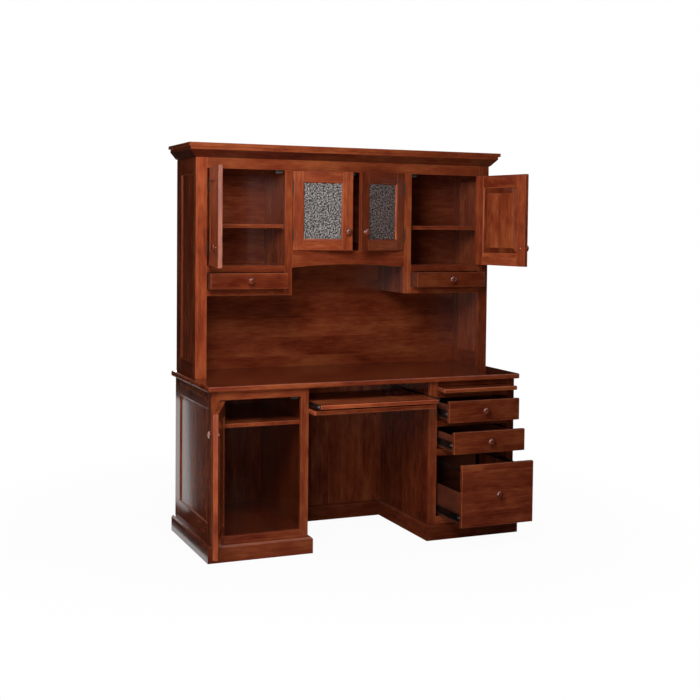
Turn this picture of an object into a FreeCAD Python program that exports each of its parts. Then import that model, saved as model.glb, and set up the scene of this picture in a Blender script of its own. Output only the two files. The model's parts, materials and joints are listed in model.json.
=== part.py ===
import FreeCAD, Part
import math
import os

# Credenza with hutch, in millimetres.
# X runs to the right, Y runs back to the wall and Z runs up.
# X = 0 is the middle of the width, Y = 0 the back plane and Z = 0 the floor.
# Doors and drawers are built closed, then opened by the amounts given here.

V = FreeCAD.Vector
UP = V(0, 0, 1)
RIGHT = V(1, 0, 0)
ORIGIN = V(0, 0, 0)
NEAR = 0.01

# Stock
BOARD = 20.0
SHELF_BOARD = 18.0
BACK_BOARD = 6.0
BOX_BOARD = 12.0
BOX_BOTTOM = 6.0
PANEL_BOARD = 8.0
PANEL_RECESS = 6.0
STILE = 38.0

# Base
BASE_WIDTH = 1530.0
BASE_DEPTH = 610.0
DESK_HEIGHT = 780.0
TOP_THICKNESS = 25.0
TOP_OVERHANG = 22.0
TOP_EDGE_RADIUS = 8.0
TOP_CORNER_RADIUS = 12.0
PEDESTAL_WIDTH = 457.0
PLINTH_HEIGHT = 75.0
PLINTH_BOARD = 19.0
PLINTH_CHAMFER = 8.0
TOP_RAIL = 38.0
BOTTOM_RAIL = 50.0
PEDESTAL_FLOOR_Z = 110.0
WIRE_CHASE = 40.0
PEDESTAL_SHELF_Z = 588.0
SHELF_SETBACK = 8.0
SHELF_PLAY = 0.5

# Recessed fields of the two pairs of framed sides
SIDE_FRONT_STILE = 30.0
SIDE_REAR_STILE = 80.0
BASE_SIDE_TOP_RAIL = 80.0
BASE_SIDE_BOTTOM_RAIL = 160.0
HUTCH_SIDE_TOP_RAIL = 122.0
HUTCH_SIDE_BOTTOM_RAIL = 70.0

# Right pedestal, from the top down
BOARD_RAIL = 22.0
BOARD_SLOT = 24.0
DRAWER_RAIL = 32.0
DRAWER_OPENING = 106.0

# Hutch
HUTCH_INSET = 3.0
HUTCH_DEPTH = 336.0
HUTCH_STILE = 53.0
MULLION = 37.0
GLASS_OPENING_WIDTH = 586.0
BAY_HEIGHT = 380.0
HUTCH_RAIL = 32.0
HUTCH_DRAWER_OPENING = 76.0
CABINET_OPENING = 447.0
GLASS_OPENING_HEIGHT = 377.0
VALANCE_DEPTH = 81.0
VALANCE_RISE = 16.0
HUTCH_SHELF_RISE = 175.0

# Crown moulding
CROWN_DROP = 50.0
CROWN_HEIGHT = 64.0
CROWN_RIM = 17.0
CROWN_PROJECTION = 43.0
CROWN_STEP = 34.0
CROWN_STEP_HEIGHT = 13.0
CROWN_FOOT = 5.0

# Doors
GAP = 2.0
DOOR_BOARD = 19.5
DOOR_MEMBER = 58.0
GLASS_MEMBER = 48.0
GLASS_PANE = 4.0
MEETING_GAP = 3.0
PANEL_CORE = 6.0
PANEL_FIELD_INSET = 1.0
PANEL_BEVEL = 30.0
BASE_DOOR_OPEN = 111.5
LEFT_DOOR_OPEN = 100.0
RIGHT_DOOR_OPEN = 99.5
LEFT_GLASS_OPEN = 10.5
RIGHT_GLASS_OPEN = 20.5

# Butt hinges
HINGE_OFFSET = 3.5
HINGE_BARREL = 3.2
HINGE_PIN = 1.5
HINGE_PIN_PLAY = 0.05
HINGE_LEAF = 0.8
HINGE_LEAF_DEPTH = 16.0
HINGE_LEAF_SETBACK = 0.5
HINGE_LENGTH = 60.0
HINGE_MIDDLE = 20.0
HINGE_END_PLAY = 0.3
HINGE_FROM_END = 75.0

# Magnetic catches
CATCH_WIDTH = 32.0
CATCH_DEPTH = 14.0
CATCH_HEIGHT = 28.0
CATCH_DROP = 14.0
CATCH_FROM_EDGE = 4.0

# Knobs
KNOB_FOOT = 9.0
KNOB_NECK = 6.0
KNOB_HEAD = 17.0
KNOB_FOOT_HEIGHT = 3.0
KNOB_NECK_HEIGHT = 11.0
KNOB_UNDERCUT = 2.5
KNOB_RIM_BOTTOM = 16.0
KNOB_RIM_TOP = 18.0
KNOB_LENGTH = 26.0
KNOB_FROM_DOOR_END = 88.0
SCREW_HEAD = 4.0
SCREW_HEAD_HEIGHT = 2.0

# Drawers
FRONT_GAP = 1.5
FRONT_BOARD = 20.0
BOX_DEPTH = 500.0
BOX_BELOW_TOP = 22.0
BOX_ABOVE_BOTTOM = 8.0
BOX_BOTTOM_UP = 8.0
FILE_SIDE_HEIGHT = 145.0
FILE_RAIL = 4.0
FILE_RAIL_HEIGHT = 16.0
FILE_RAIL_BELOW_TOP = 6.0
UPPER_DRAWER_OUT = 118.0
MIDDLE_DRAWER_OUT = 171.0
FILE_DRAWER_OUT = 252.0
HUTCH_BOX_DEPTH = 285.0
HUTCH_BOX_SIDE_GAP = 3.0
HUTCH_BOX_RISE = 1.5
HUTCH_BOX_BELOW_TOP = 3.0
LEFT_HUTCH_DRAWER_OUT = 58.0
RIGHT_HUTCH_DRAWER_OUT = 74.0
RUNNER_WIDTH = 16.0
RUNNER_PLAY = 0.3

# Metal slides
SLIDE_SPACE = 13.0
SLIDE_DEPTH = 10.0
SLIDE_SHEET = 1.2
SLIDE_HEIGHT = 35.0
SLIDE_LENGTH = 450.0
SLIDE_SETBACK = 4.0
SLIDE_PLAY = 0.4
SLIDE_UP = 14.0
PACKER_MARGIN = 8.0

# Pull-out writing board
WRITING_BOARD = 20.0
WRITING_BOARD_DEPTH = 470.0
WRITING_BOARD_PLAY = 0.5
WRITING_BOARD_NOSE = 20.0
WRITING_BOARD_LIP = 7.5
WRITING_BOARD_OUT = 63.5
BOARD_GUIDE = 18.0

# Keyboard tray and the drop front under it
KEYBOARD_BAY_HEIGHT = 117.0
DROP_BOARD = 19.0
DROP_SETBACK = 28.0
DROP_KNOB_RISE = 66.0
DROP_PIN = 3.0
DROP_PIN_PLAY = 0.05
DROP_PIN_SEAT = 12.0
DROP_OPEN = 90.0
TRAY_ABOVE_DROP = 13.0
TRAY_BOARD = 18.0
TRAY_DEPTH = 400.0
TRAY_SETBACK = 4.0
TRAY_OUT = 166.0
TRAY_SLIDE_LENGTH = 390.0
TRAY_SLIDE_HEIGHT = 22.0

# Shelf supports
SUPPORT_REACH = 8.0
SUPPORT_WIDTH = 10.0
SUPPORT_HEIGHT = 6.0
SUPPORT_FROM_BACK = 43.0

# Planes and spans that follow from these sizes, left side first
half_base = BASE_WIDTH / 2
knee = half_base - PEDESTAL_WIDTH
case_top = DESK_HEIGHT - TOP_THICKNESS
base_face = -BASE_DEPTH
base_inside = base_face + BOARD
base_face_y = (base_face, base_inside)
pedestal_x = (-half_base + BOARD, -knee - BOARD)
pedestal_opening_x = (-half_base + STILE, -knee - STILE)
knee_panel_y = (-WIRE_CHASE - SHELF_BOARD, -WIRE_CHASE)
door_top = case_top - TOP_RAIL
slot_top = case_top - BOARD_RAIL
slot_bottom = slot_top - BOARD_SLOT
upper_top = slot_bottom - DRAWER_RAIL
upper_bottom = upper_top - DRAWER_OPENING
middle_top = upper_bottom - DRAWER_RAIL
middle_bottom = middle_top - DRAWER_OPENING
file_top = middle_bottom - DRAWER_RAIL
bottom_rail_z = (PEDESTAL_FLOOR_Z - BOTTOM_RAIL, PEDESTAL_FLOOR_Z)

half_hutch = half_base - HUTCH_INSET
hutch_face = -HUTCH_DEPTH
hutch_inside = hutch_face + BOARD
hutch_face_y = (hutch_face, hutch_inside)
hutch_side_inner = half_hutch - BOARD
half_glass = GLASS_OPENING_WIDTH / 2
mullion_x = (-half_glass - MULLION, -half_glass)
cabinet_opening_x = (-half_hutch + HUTCH_STILE, mullion_x[0])
divider_centre = -half_glass - MULLION / 2
divider_x = (divider_centre - SHELF_BOARD / 2, divider_centre + SHELF_BOARD / 2)
cabinet_x = (-hutch_side_inner, divider_x[0])
bay_top = DESK_HEIGHT + BAY_HEIGHT
hutch_drawer_bottom = bay_top + HUTCH_RAIL
hutch_drawer_top = hutch_drawer_bottom + HUTCH_DRAWER_OPENING
cabinet_bottom = hutch_drawer_top + HUTCH_RAIL
cabinet_top = cabinet_bottom + CABINET_OPENING
valance_top = cabinet_top - GLASS_OPENING_HEIGHT
valance_end = valance_top - VALANCE_DEPTH
crown_bottom = cabinet_top + CROWN_DROP
crown_top = crown_bottom + CROWN_HEIGHT
hutch_top = crown_top - CROWN_RIM
hutch_depth_y = (hutch_inside, -BACK_BOARD)

drop_y = (base_face + DROP_SETBACK, base_face + DROP_SETBACK + DROP_BOARD)
drop_axis_y = drop_y[0] + DROP_BOARD / 2
drop_bottom = case_top - KEYBOARD_BAY_HEIGHT
drop_axis_z = drop_bottom + DROP_BOARD / 2
tray_bottom = drop_bottom + DROP_BOARD + TRAY_ABOVE_DROP

nodes = {}
case_hinges = []
catches = []
case_slides = []
wood_runners = []
supports = []


def add(name, solids):
    """Keep a named piece, or a named group of separate pieces."""
    nodes.setdefault(name, []).extend(solids)


def board(x, y, z):
    """A plain board between two limits on each axis."""
    return Part.makeBox(x[1] - x[0], y[1] - y[0], z[1] - z[0], V(x[0], y[0], z[0]))


def flip(span):
    """The same span on the other side of the middle."""
    return (-span[1], -span[0])


def both(x, y, z):
    """A board on the left and its twin on the right."""
    return [board(x, y, z), board(flip(x), y, z)]


def mirrored(solids):
    """The same solids on the other side of the middle."""
    return [solid.mirror(ORIGIN, RIGHT) for solid in solids]


def pull(solids, distance):
    """Draw pieces forward out of the case."""
    return [solid.translated(V(0, -distance, 0)) for solid in solids]


def turn(solids, centre, axis, angle):
    """Turn pieces about a line."""
    return [solid.rotated(centre, axis, angle) for solid in solids]


def prism(points, direction):
    """A straight prism over a closed outline."""
    outline = Part.makePolygon(points + [points[0]])
    return Part.Face(outline).extrude(direction)


def chamfer_top(solid, top, wanted):
    """Chamfer the wanted edges of a board's upper face."""
    edges = []
    for edge in solid.Edges:
        box = edge.BoundBox
        if box.ZMin > top - NEAR and wanted(edge.CenterOfMass):
            edges.append(edge)
    return solid.makeChamfer(PLINTH_CHAMFER, edges)


def make_desk_top():
    side = half_base + TOP_OVERHANG
    front = base_face - TOP_OVERHANG
    slab = board((-side, side), (front, 0), (case_top, DESK_HEIGHT))
    corners = []
    for edge in slab.Edges:
        box = edge.BoundBox
        if box.ZLength > NEAR and box.YMax < -NEAR:
            corners.append(edge)
    slab = slab.makeFillet(TOP_CORNER_RADIUS, corners)
    rims = []
    for edge in slab.Edges:
        box = edge.BoundBox
        if box.ZLength < NEAR and box.YMin < -NEAR:
            rims.append(edge)
    add("desk_top", [slab.makeFillet(TOP_EDGE_RADIUS, rims)])


def make_plinth():
    height = (0, PLINTH_HEIGHT)
    outer = -half_base - PLINTH_BOARD
    inner = -knee + PLINTH_BOARD
    front = board((outer, inner), (base_face - PLINTH_BOARD, base_face), height)
    front = chamfer_top(front, PLINTH_HEIGHT, lambda c: c.y < base_face - NEAR)
    outside = board((outer, -half_base), (base_face, 0), height)
    outside = chamfer_top(outside, PLINTH_HEIGHT, lambda c: c.x < outer + NEAR)
    inside = board((-knee, inner), (base_face, knee_panel_y[0]), height)
    inside = chamfer_top(inside, PLINTH_HEIGHT, lambda c: c.x > inner - NEAR)
    left = [front, outside, inside]
    back_y = (knee_panel_y[0] - PLINTH_BOARD, knee_panel_y[0])
    back = board((inner, -inner), back_y, height)
    back = chamfer_top(back, PLINTH_HEIGHT, lambda c: c.y < back_y[0] + NEAR)
    tie = board((-knee, knee), (-PLINTH_BOARD, 0), height)
    add("plinth", left + mirrored(left) + [back, tie])


def framed_side(frame_name, panel_name, x, y, z, top_rail, bottom_rail):
    """A pair of framed sides with thin panels set back from the outside."""
    field_y = (y[0] + SIDE_FRONT_STILE, y[1] - SIDE_REAR_STILE)
    field_z = (z[0] + bottom_rail, z[1] - top_rail)
    add(frame_name, both(x, (y[0], field_y[0]), z))
    add(frame_name, both(x, (field_y[1], y[1]), z))
    add(frame_name, both(x, field_y, (z[0], field_z[0])))
    add(frame_name, both(x, field_y, (field_z[1], z[1])))
    panel_x = (x[0] + PANEL_RECESS, x[0] + PANEL_RECESS + PANEL_BOARD)
    add(panel_name, both(panel_x, field_y, field_z))


def make_base_case():
    full = (0, case_top)
    framed_side(
        "base_side_frames",
        "side_panels",
        (-half_base, -half_base + BOARD),
        (base_inside, 0),
        full,
        BASE_SIDE_TOP_RAIL,
        BASE_SIDE_BOTTOM_RAIL,
    )
    bore_start = V(-knee - DROP_PIN_SEAT, drop_axis_y, drop_axis_z)
    bore = Part.makeCylinder(DROP_PIN + DROP_PIN_PLAY, DROP_PIN_SEAT, bore_start, RIGHT)
    inner_side = board((-knee - BOARD, -knee), (base_inside, 0), full).cut(bore)
    add("pedestal_inner_sides", [inner_side] + mirrored([inner_side]))
    floor_z = (PEDESTAL_FLOOR_Z - SHELF_BOARD, PEDESTAL_FLOOR_Z)
    add("cabinet_floors", both(pedestal_x, (base_inside, -BACK_BOARD), floor_z))
    add("base_backs", both(pedestal_x, (-BACK_BOARD, 0), full))
    add("base_backs", [board((-knee, knee), knee_panel_y, full)])


def make_base_face_frame():
    name = "base_face_frame"
    opening = pedestal_opening_x
    add(name, both((-half_base, opening[0]), base_face_y, (0, case_top)))
    add(name, both((opening[1], -knee), base_face_y, (0, case_top)))
    add(name, both(opening, base_face_y, bottom_rail_z))
    add(name, [board(opening, base_face_y, (door_top, case_top))])
    rails = [
        (slot_top, case_top),
        (upper_top, slot_bottom),
        (middle_top, upper_bottom),
        (file_top, middle_bottom),
    ]
    for rail_z in rails:
        add(name, [board(flip(opening), base_face_y, rail_z)])


def make_hutch_case():
    tall = (DESK_HEIGHT, hutch_top)
    framed_side(
        "hutch_side_frames",
        "side_panels",
        (-half_hutch, -hutch_side_inner),
        (hutch_inside, 0),
        tall,
        HUTCH_SIDE_TOP_RAIL,
        HUTCH_SIDE_BOTTOM_RAIL,
    )
    across = (-hutch_side_inner, hutch_side_inner)
    under_top = hutch_top - SHELF_BOARD
    add("hutch_back", [board(across, (-BACK_BOARD, 0), tall)])
    add("hutch_top", [board(across, hutch_depth_y, (under_top, hutch_top))])
    add("hutch_dividers", both(divider_x, hutch_depth_y, (bay_top, under_top)))
    low_z = (bay_top, bay_top + SHELF_BOARD)
    cabinet_z = (cabinet_bottom - SHELF_BOARD, cabinet_bottom)
    centre_z = (valance_top - SHELF_BOARD, valance_top)
    add("cabinet_floors", both(cabinet_x, hutch_depth_y, low_z))
    add("cabinet_floors", both(cabinet_x, hutch_depth_y, cabinet_z))
    add("cabinet_floors", [board((divider_x[1], -divider_x[1]), hutch_depth_y, centre_z)])


def make_hutch_face_frame():
    name = "hutch_face_frame"
    opening = cabinet_opening_x
    add(name, both((-half_hutch, opening[0]), hutch_face_y, (DESK_HEIGHT, hutch_top)))
    add(name, both(mullion_x, hutch_face_y, (bay_top, cabinet_top)))
    add(name, [board((opening[0], -opening[0]), hutch_face_y, (cabinet_top, hutch_top))])
    add(name, both(opening, hutch_face_y, (hutch_drawer_top, cabinet_bottom)))
    add(name, both(opening, hutch_face_y, (bay_top, hutch_drawer_bottom)))


def make_valance():
    y = hutch_face
    left_end = V(-half_glass, y, valance_end)
    right_end = V(half_glass, y, valance_end)
    middle = V(0, y, valance_end + VALANCE_RISE)
    left_top = V(-half_glass, y, valance_top)
    right_top = V(half_glass, y, valance_top)
    arch = Part.Arc(left_end, middle, right_end).toShape()
    rim = [
        Part.makeLine(right_end, right_top),
        Part.makeLine(right_top, left_top),
        Part.makeLine(left_top, left_end),
    ]
    face = Part.Face(Part.Wire([arch] + rim))
    add("arched_valance", [face.extrude(V(0, BOARD, 0))])


def crown_member(section):
    """Three mitred lengths of one member, whose section lists points (out, height)."""
    out = half_hutch + CROWN_PROJECTION
    fore = hutch_face - CROWN_PROJECTION
    rise = V(0, 0, CROWN_HEIGHT)
    front = prism([V(-out, hutch_face - o, z) for o, z in section], V(2 * out, 0, 0))
    front_mitre = prism(
        [
            V(-half_hutch, hutch_face, crown_bottom),
            V(-out, fore, crown_bottom),
            V(out, fore, crown_bottom),
            V(half_hutch, hutch_face, crown_bottom),
        ],
        rise,
    )
    side = prism([V(-half_hutch - o, fore, z) for o, z in section], V(0, -fore, 0))
    side_mitre = prism(
        [
            V(-half_hutch, 0, crown_bottom),
            V(-out, 0, crown_bottom),
            V(-out, fore, crown_bottom),
            V(-half_hutch, hutch_face, crown_bottom),
        ],
        rise,
    )
    left = side.common(side_mitre).Solids
    return front.common(front_mitre).Solids + left + mirrored(left)


def make_crown():
    """A stepped cap and, under it, a bed moulding with a straight slope."""
    step_z = crown_top - CROWN_RIM
    bed_z = step_z - CROWN_STEP_HEIGHT
    cap = [
        (0, bed_z),
        (CROWN_STEP, bed_z),
        (CROWN_STEP, step_z),
        (CROWN_PROJECTION, step_z),
        (CROWN_PROJECTION, crown_top),
        (0, crown_top),
    ]
    bed = [(0, crown_bottom), (CROWN_FOOT, crown_bottom), (CROWN_STEP, bed_z), (0, bed_z)]
    add("crown_moulding", crown_member(cap) + crown_member(bed))


def make_shelf(x, y, z):
    """One loose shelf and the four supports under it."""
    shelf_x = (x[0] + SHELF_PLAY, x[1] - SHELF_PLAY)
    shelf_y = (y[0] + SHELF_SETBACK, y[1] - SHELF_PLAY)
    add("adjustable_shelves", [board(shelf_x, shelf_y, (z, z + SHELF_BOARD))])
    support_z = (z - SUPPORT_HEIGHT, z)
    front_y = y[0] + SIDE_FRONT_STILE / 2
    for middle_y in (front_y, -SUPPORT_FROM_BACK):
        support_y = (middle_y - SUPPORT_WIDTH / 2, middle_y + SUPPORT_WIDTH / 2)
        supports.append(board((x[0], x[0] + SUPPORT_REACH), support_y, support_z))
        supports.append(board((x[1] - SUPPORT_REACH, x[1]), support_y, support_z))


def make_shelves():
    hutch_shelf_z = cabinet_bottom + HUTCH_SHELF_RISE
    make_shelf(pedestal_x, (base_inside, -BACK_BOARD), PEDESTAL_SHELF_Z)
    make_shelf(cabinet_x, hutch_depth_y, hutch_shelf_z)
    make_shelf(flip(cabinet_x), hutch_depth_y, hutch_shelf_z)


def make_knob(x, y, z):
    """A turned knob whose foot stands on a front face at y."""
    dome = KNOB_LENGTH - KNOB_RIM_TOP
    dome_radius = (KNOB_HEAD ** 2 + dome ** 2) / (2 * dome)
    dome_centre = KNOB_LENGTH - dome_radius
    half_angle = math.asin(KNOB_HEAD / dome_radius) / 2
    halfway_up = dome_centre + dome_radius * math.cos(half_angle)
    halfway = V(dome_radius * math.sin(half_angle), 0, halfway_up)
    rim_top = V(KNOB_HEAD, 0, KNOB_RIM_TOP)
    crown = V(0, 0, KNOB_LENGTH)
    points = [
        crown,
        ORIGIN,
        V(KNOB_FOOT, 0, 0),
        V(KNOB_FOOT, 0, KNOB_FOOT_HEIGHT),
        V(KNOB_NECK, 0, KNOB_FOOT_HEIGHT),
        V(KNOB_NECK, 0, KNOB_NECK_HEIGHT),
        V(KNOB_HEAD - KNOB_UNDERCUT, 0, KNOB_NECK_HEIGHT + KNOB_UNDERCUT),
        V(KNOB_HEAD, 0, KNOB_RIM_BOTTOM),
        rim_top,
    ]
    outline = []
    for start, end in zip(points, points[1:]):
        outline.append(Part.makeLine(start, end))
    outline.append(Part.Arc(rim_top, halfway, crown).toShape())
    knob = Part.Face(Part.Wire(outline)).revolve(ORIGIN, UP, 360)
    return knob.rotated(ORIGIN, RIGHT, 90).translated(V(x, y, z))


def make_hinge(axis_x, face_y, middle_z, side):
    """The fixed and the moving half of one butt hinge; side is 1 when hung on the right."""
    axis_y = face_y - HINGE_OFFSET
    z = (middle_z - HINGE_LENGTH / 2, middle_z + HINGE_LENGTH / 2)
    own = (middle_z - HINGE_MIDDLE / 2, middle_z + HINGE_MIDDLE / 2)
    ends = ((z[0], own[0] - HINGE_END_PLAY), (own[1] + HINGE_END_PLAY, z[1]))
    leaf_y = (face_y + HINGE_LEAF_SETBACK, face_y + HINGE_LEAF_DEPTH)
    neck_y = (axis_y, leaf_y[0])

    def leaf_x(towards):
        edge = axis_x + towards * GAP / 2
        return tuple(sorted((edge, edge - towards * HINGE_LEAF)))

    def barrel(radius, span):
        return Part.makeCylinder(radius, span[1] - span[0], V(axis_x, axis_y, span[0]))

    fixed = board(leaf_x(side), leaf_y, z)
    for end in ends:
        fixed = fixed.fuse([barrel(HINGE_BARREL, end), board(leaf_x(side), neck_y, end)])
    fixed = fixed.fuse(barrel(HINGE_PIN, z))
    moving = board(leaf_x(-side), leaf_y, z)
    moving = moving.fuse([barrel(HINGE_BARREL, own), board(leaf_x(-side), neck_y, own)])
    moving = moving.cut(barrel(HINGE_PIN + HINGE_PIN_PLAY, z))
    return fixed.removeSplitter().Solids, moving.removeSplitter().Solids


def raised_panel(x, y, z):
    """A panel raised to a flat field on both faces, with sloping margins."""
    middle = (y[0] + y[1]) / 2
    core = board(x, (middle - PANEL_CORE / 2, middle + PANEL_CORE / 2), z)

    def rectangle(inset, at_y):
        low = V(x[0] + inset, at_y, z[0] + inset)
        high = V(x[1] - inset, at_y, z[1] - inset)
        corners = [low, V(high.x, at_y, low.z), high, V(low.x, at_y, high.z), low]
        return Part.makePolygon(corners)

    for towards, field_y in ((-1, y[0] + PANEL_FIELD_INSET), (1, y[1] - PANEL_FIELD_INSET)):
        margin = rectangle(0, middle + towards * PANEL_CORE / 2)
        field = rectangle(PANEL_BEVEL, field_y)
        core = core.fuse(Part.makeLoft([margin, field], True, True))
    return core.removeSplitter()


def make_door(name, x, z, face_y, side, opened, member, fill, knob_z, catch_top):
    """A framed door hung at its left (side -1) or right (side 1) edge, then opened."""
    y = (face_y, face_y + DOOR_BOARD)
    field_x = (x[0] + member, x[1] - member)
    field_z = (z[0] + member, z[1] - member)
    frame = [
        board((x[0], field_x[0]), y, z),
        board((field_x[1], x[1]), y, z),
        board(field_x, y, (z[0], field_z[0])),
        board(field_x, y, (field_z[1], z[1])),
    ]
    if fill == "glass":
        middle = (y[0] + y[1]) / 2
        pane_y = (middle - GLASS_PANE / 2, middle + GLASS_PANE / 2)
        panel = board(field_x, pane_y, field_z)
    else:
        panel = raised_panel(field_x, y, field_z)
    if side < 0:
        hung, free = x
    else:
        free, hung = x
    axis_x = hung + side * GAP / 2
    knob_x = free + side * member / 2
    screw_start = V(knob_x, y[1], knob_z)
    screw = Part.makeCylinder(SCREW_HEAD, SCREW_HEAD_HEIGHT, screw_start, V(0, 1, 0))
    hardware = [make_knob(knob_x, face_y, knob_z), screw]
    for hinge_z in (z[0] + HINGE_FROM_END, z[1] - HINGE_FROM_END):
        fixed, moving = make_hinge(axis_x, face_y, hinge_z, side)
        case_hinges.extend(fixed)
        hardware.extend(moving)
    catch_edge = free + side * CATCH_FROM_EDGE
    catch_x = tuple(sorted((catch_edge, catch_edge + side * CATCH_WIDTH)))
    catch_y = (face_y + BOARD, face_y + BOARD + CATCH_DEPTH)
    catch_z = (catch_top - CATCH_DROP, catch_top - CATCH_DROP + CATCH_HEIGHT)
    catches.append(board(catch_x, catch_y, catch_z))
    axis = V(axis_x, face_y - HINGE_OFFSET, 0)
    angle = side * opened
    add(name + "_frame", turn(frame, axis, UP, angle))
    add(name + "_" + fill, turn([panel], axis, UP, angle))
    add(name + "_knob_and_hinges", turn(hardware, axis, UP, angle))


def make_doors():
    base_x = (pedestal_opening_x[0] + GAP, pedestal_opening_x[1] - GAP)
    base_z = (PEDESTAL_FLOOR_Z + GAP, door_top - GAP)
    base_knob = base_z[1] - KNOB_FROM_DOOR_END
    make_door("base_door", base_x, base_z, base_face, -1, BASE_DOOR_OPEN,
              DOOR_MEMBER, "panel", base_knob, door_top)
    left_x = (cabinet_opening_x[0] + GAP, cabinet_opening_x[1] - GAP)
    wood_z = (cabinet_bottom + GAP, cabinet_top - GAP)
    wood_knob = wood_z[0] + KNOB_FROM_DOOR_END
    make_door("left_hutch_door", left_x, wood_z, hutch_face, -1, LEFT_DOOR_OPEN,
              DOOR_MEMBER, "panel", wood_knob, cabinet_top)
    make_door("right_hutch_door", flip(left_x), wood_z, hutch_face, 1, RIGHT_DOOR_OPEN,
              DOOR_MEMBER, "panel", wood_knob, cabinet_top)
    glass_x = (-half_glass + GAP, -MEETING_GAP / 2)
    glass_z = (valance_top + GAP, cabinet_top - GAP)
    glass_knob = glass_z[0] + KNOB_FROM_DOOR_END
    make_door("left_glass_door", glass_x, glass_z, hutch_face, -1, LEFT_GLASS_OPEN,
              GLASS_MEMBER, "glass", glass_knob, cabinet_top)
    make_door("right_glass_door", flip(glass_x), glass_z, hutch_face, 1, RIGHT_GLASS_OPEN,
              GLASS_MEMBER, "glass", glass_knob, cabinet_top)


def slide_channel(web_x, open_towards, height_z, y):
    """A thin C-shaped channel, its back at web_x, open to one side."""
    back = web_x
    lip = web_x + open_towards * SLIDE_DEPTH
    inner = web_x + open_towards * SLIDE_SHEET
    low, high = height_z
    points = [
        V(back, y[0], low),
        V(lip, y[0], low),
        V(lip, y[0], low + SLIDE_SHEET),
        V(inner, y[0], low + SLIDE_SHEET),
        V(inner, y[0], high - SLIDE_SHEET),
        V(lip, y[0], high - SLIDE_SHEET),
        V(lip, y[0], high),
        V(back, y[0], high),
    ]
    return prism(points, V(0, y[1] - y[0], 0))


def slide_pair(left_x, right_x, low_z, start_y, length, height):
    """Case channels with their backs at two walls, and the channels that run inside them."""
    y = (start_y, start_y + length)
    outer_z = (low_z, low_z + height)
    inset = SLIDE_SHEET + SLIDE_PLAY
    inner_z = (outer_z[0] + inset, outer_z[1] - inset)
    case = [slide_channel(left_x, 1, outer_z, y), slide_channel(right_x, -1, outer_z, y)]
    moving = [
        slide_channel(left_x + SLIDE_SPACE, -1, inner_z, y),
        slide_channel(right_x - SLIDE_SPACE, 1, inner_z, y),
    ]
    return case, moving


def box_boards(x, y, z, side_top):
    """Two sides, a front, a back and a bottom of a drawer box."""
    inner_x = (x[0] + BOX_BOARD, x[1] - BOX_BOARD)
    inner_y = (y[0] + BOX_BOARD, y[1] - BOX_BOARD)
    bottom_z = (z[0] + BOX_BOTTOM_UP, z[0] + BOX_BOTTOM_UP + BOX_BOTTOM)
    side_z = (z[0], side_top)
    return [
        board((x[0], inner_x[0]), y, side_z),
        board((inner_x[1], x[1]), y, side_z),
        board(inner_x, (y[0], inner_y[0]), z),
        board(inner_x, (inner_y[1], y[1]), z),
        board(inner_x, inner_y, bottom_z),
    ]


def make_drawer_front(name, opening_x, opening_z, face_y, out):
    """An inset front with its knob."""
    x = (opening_x[0] + FRONT_GAP, opening_x[1] - FRONT_GAP)
    z = (opening_z[0] + FRONT_GAP, opening_z[1] - FRONT_GAP)
    front = board(x, (face_y, face_y + FRONT_BOARD), z)
    knob = make_knob((x[0] + x[1]) / 2, face_y, (z[0] + z[1]) / 2)
    add(name + "_front", pull([front], out))
    add(name + "_knob", pull([knob], out))


def make_slide_drawer(name, opening_z, side_top, out):
    """A drawer of the right pedestal on metal side slides; returns its box limits."""
    opening_x = flip(pedestal_opening_x)
    make_drawer_front(name, opening_x, opening_z, base_face, out)
    box_x = (opening_x[0] + SLIDE_SPACE, opening_x[1] - SLIDE_SPACE)
    box_y = (base_face + FRONT_BOARD, base_face + FRONT_BOARD + BOX_DEPTH)
    box_z = (opening_z[0] + BOX_ABOVE_BOTTOM, opening_z[1] - BOX_BELOW_TOP)
    add(name + "_box", pull(box_boards(box_x, box_y, box_z, side_top), out))
    slide_z = box_z[0] + SLIDE_UP
    slide_y = base_inside + SLIDE_SETBACK
    case, moving = slide_pair(*opening_x, slide_z, slide_y, SLIDE_LENGTH, SLIDE_HEIGHT)
    case_slides.extend(case)
    add(name + "_slides", pull(moving, out))
    wall = flip(pedestal_x)
    packer_y = (base_inside, -BACK_BOARD)
    packer_z = (slide_z - PACKER_MARGIN, slide_z + SLIDE_HEIGHT + PACKER_MARGIN)
    wood_runners.append(board((wall[0], opening_x[0]), packer_y, packer_z))
    wood_runners.append(board((opening_x[1], wall[1]), packer_y, packer_z))
    return box_x, box_y, box_z


def make_base_drawers():
    upper_z = (upper_bottom, upper_top)
    middle_z = (middle_bottom, middle_top)
    file_z = (PEDESTAL_FLOOR_Z, file_top)
    make_slide_drawer("upper_drawer", upper_z, upper_top - BOX_BELOW_TOP, UPPER_DRAWER_OUT)
    make_slide_drawer("middle_drawer", middle_z, middle_top - BOX_BELOW_TOP, MIDDLE_DRAWER_OUT)
    file_side_top = PEDESTAL_FLOOR_Z + BOX_ABOVE_BOTTOM + FILE_SIDE_HEIGHT
    x, y, z = make_slide_drawer("file_drawer", file_z, file_side_top, FILE_DRAWER_OUT)
    near_x = (x[0] + BOX_BOARD, x[0] + BOX_BOARD + FILE_RAIL)
    far_x = (x[1] - BOX_BOARD - FILE_RAIL, x[1] - BOX_BOARD)
    rail_y = (y[0] + BOX_BOARD, y[1] - BOX_BOARD)
    rail_top = z[1] - FILE_RAIL_BELOW_TOP
    rail_z = (rail_top - FILE_RAIL_HEIGHT, rail_top)
    rails = [board(near_x, rail_y, rail_z), board(far_x, rail_y, rail_z)]
    add("file_drawer_hanging_rails", pull(rails, FILE_DRAWER_OUT))


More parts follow.
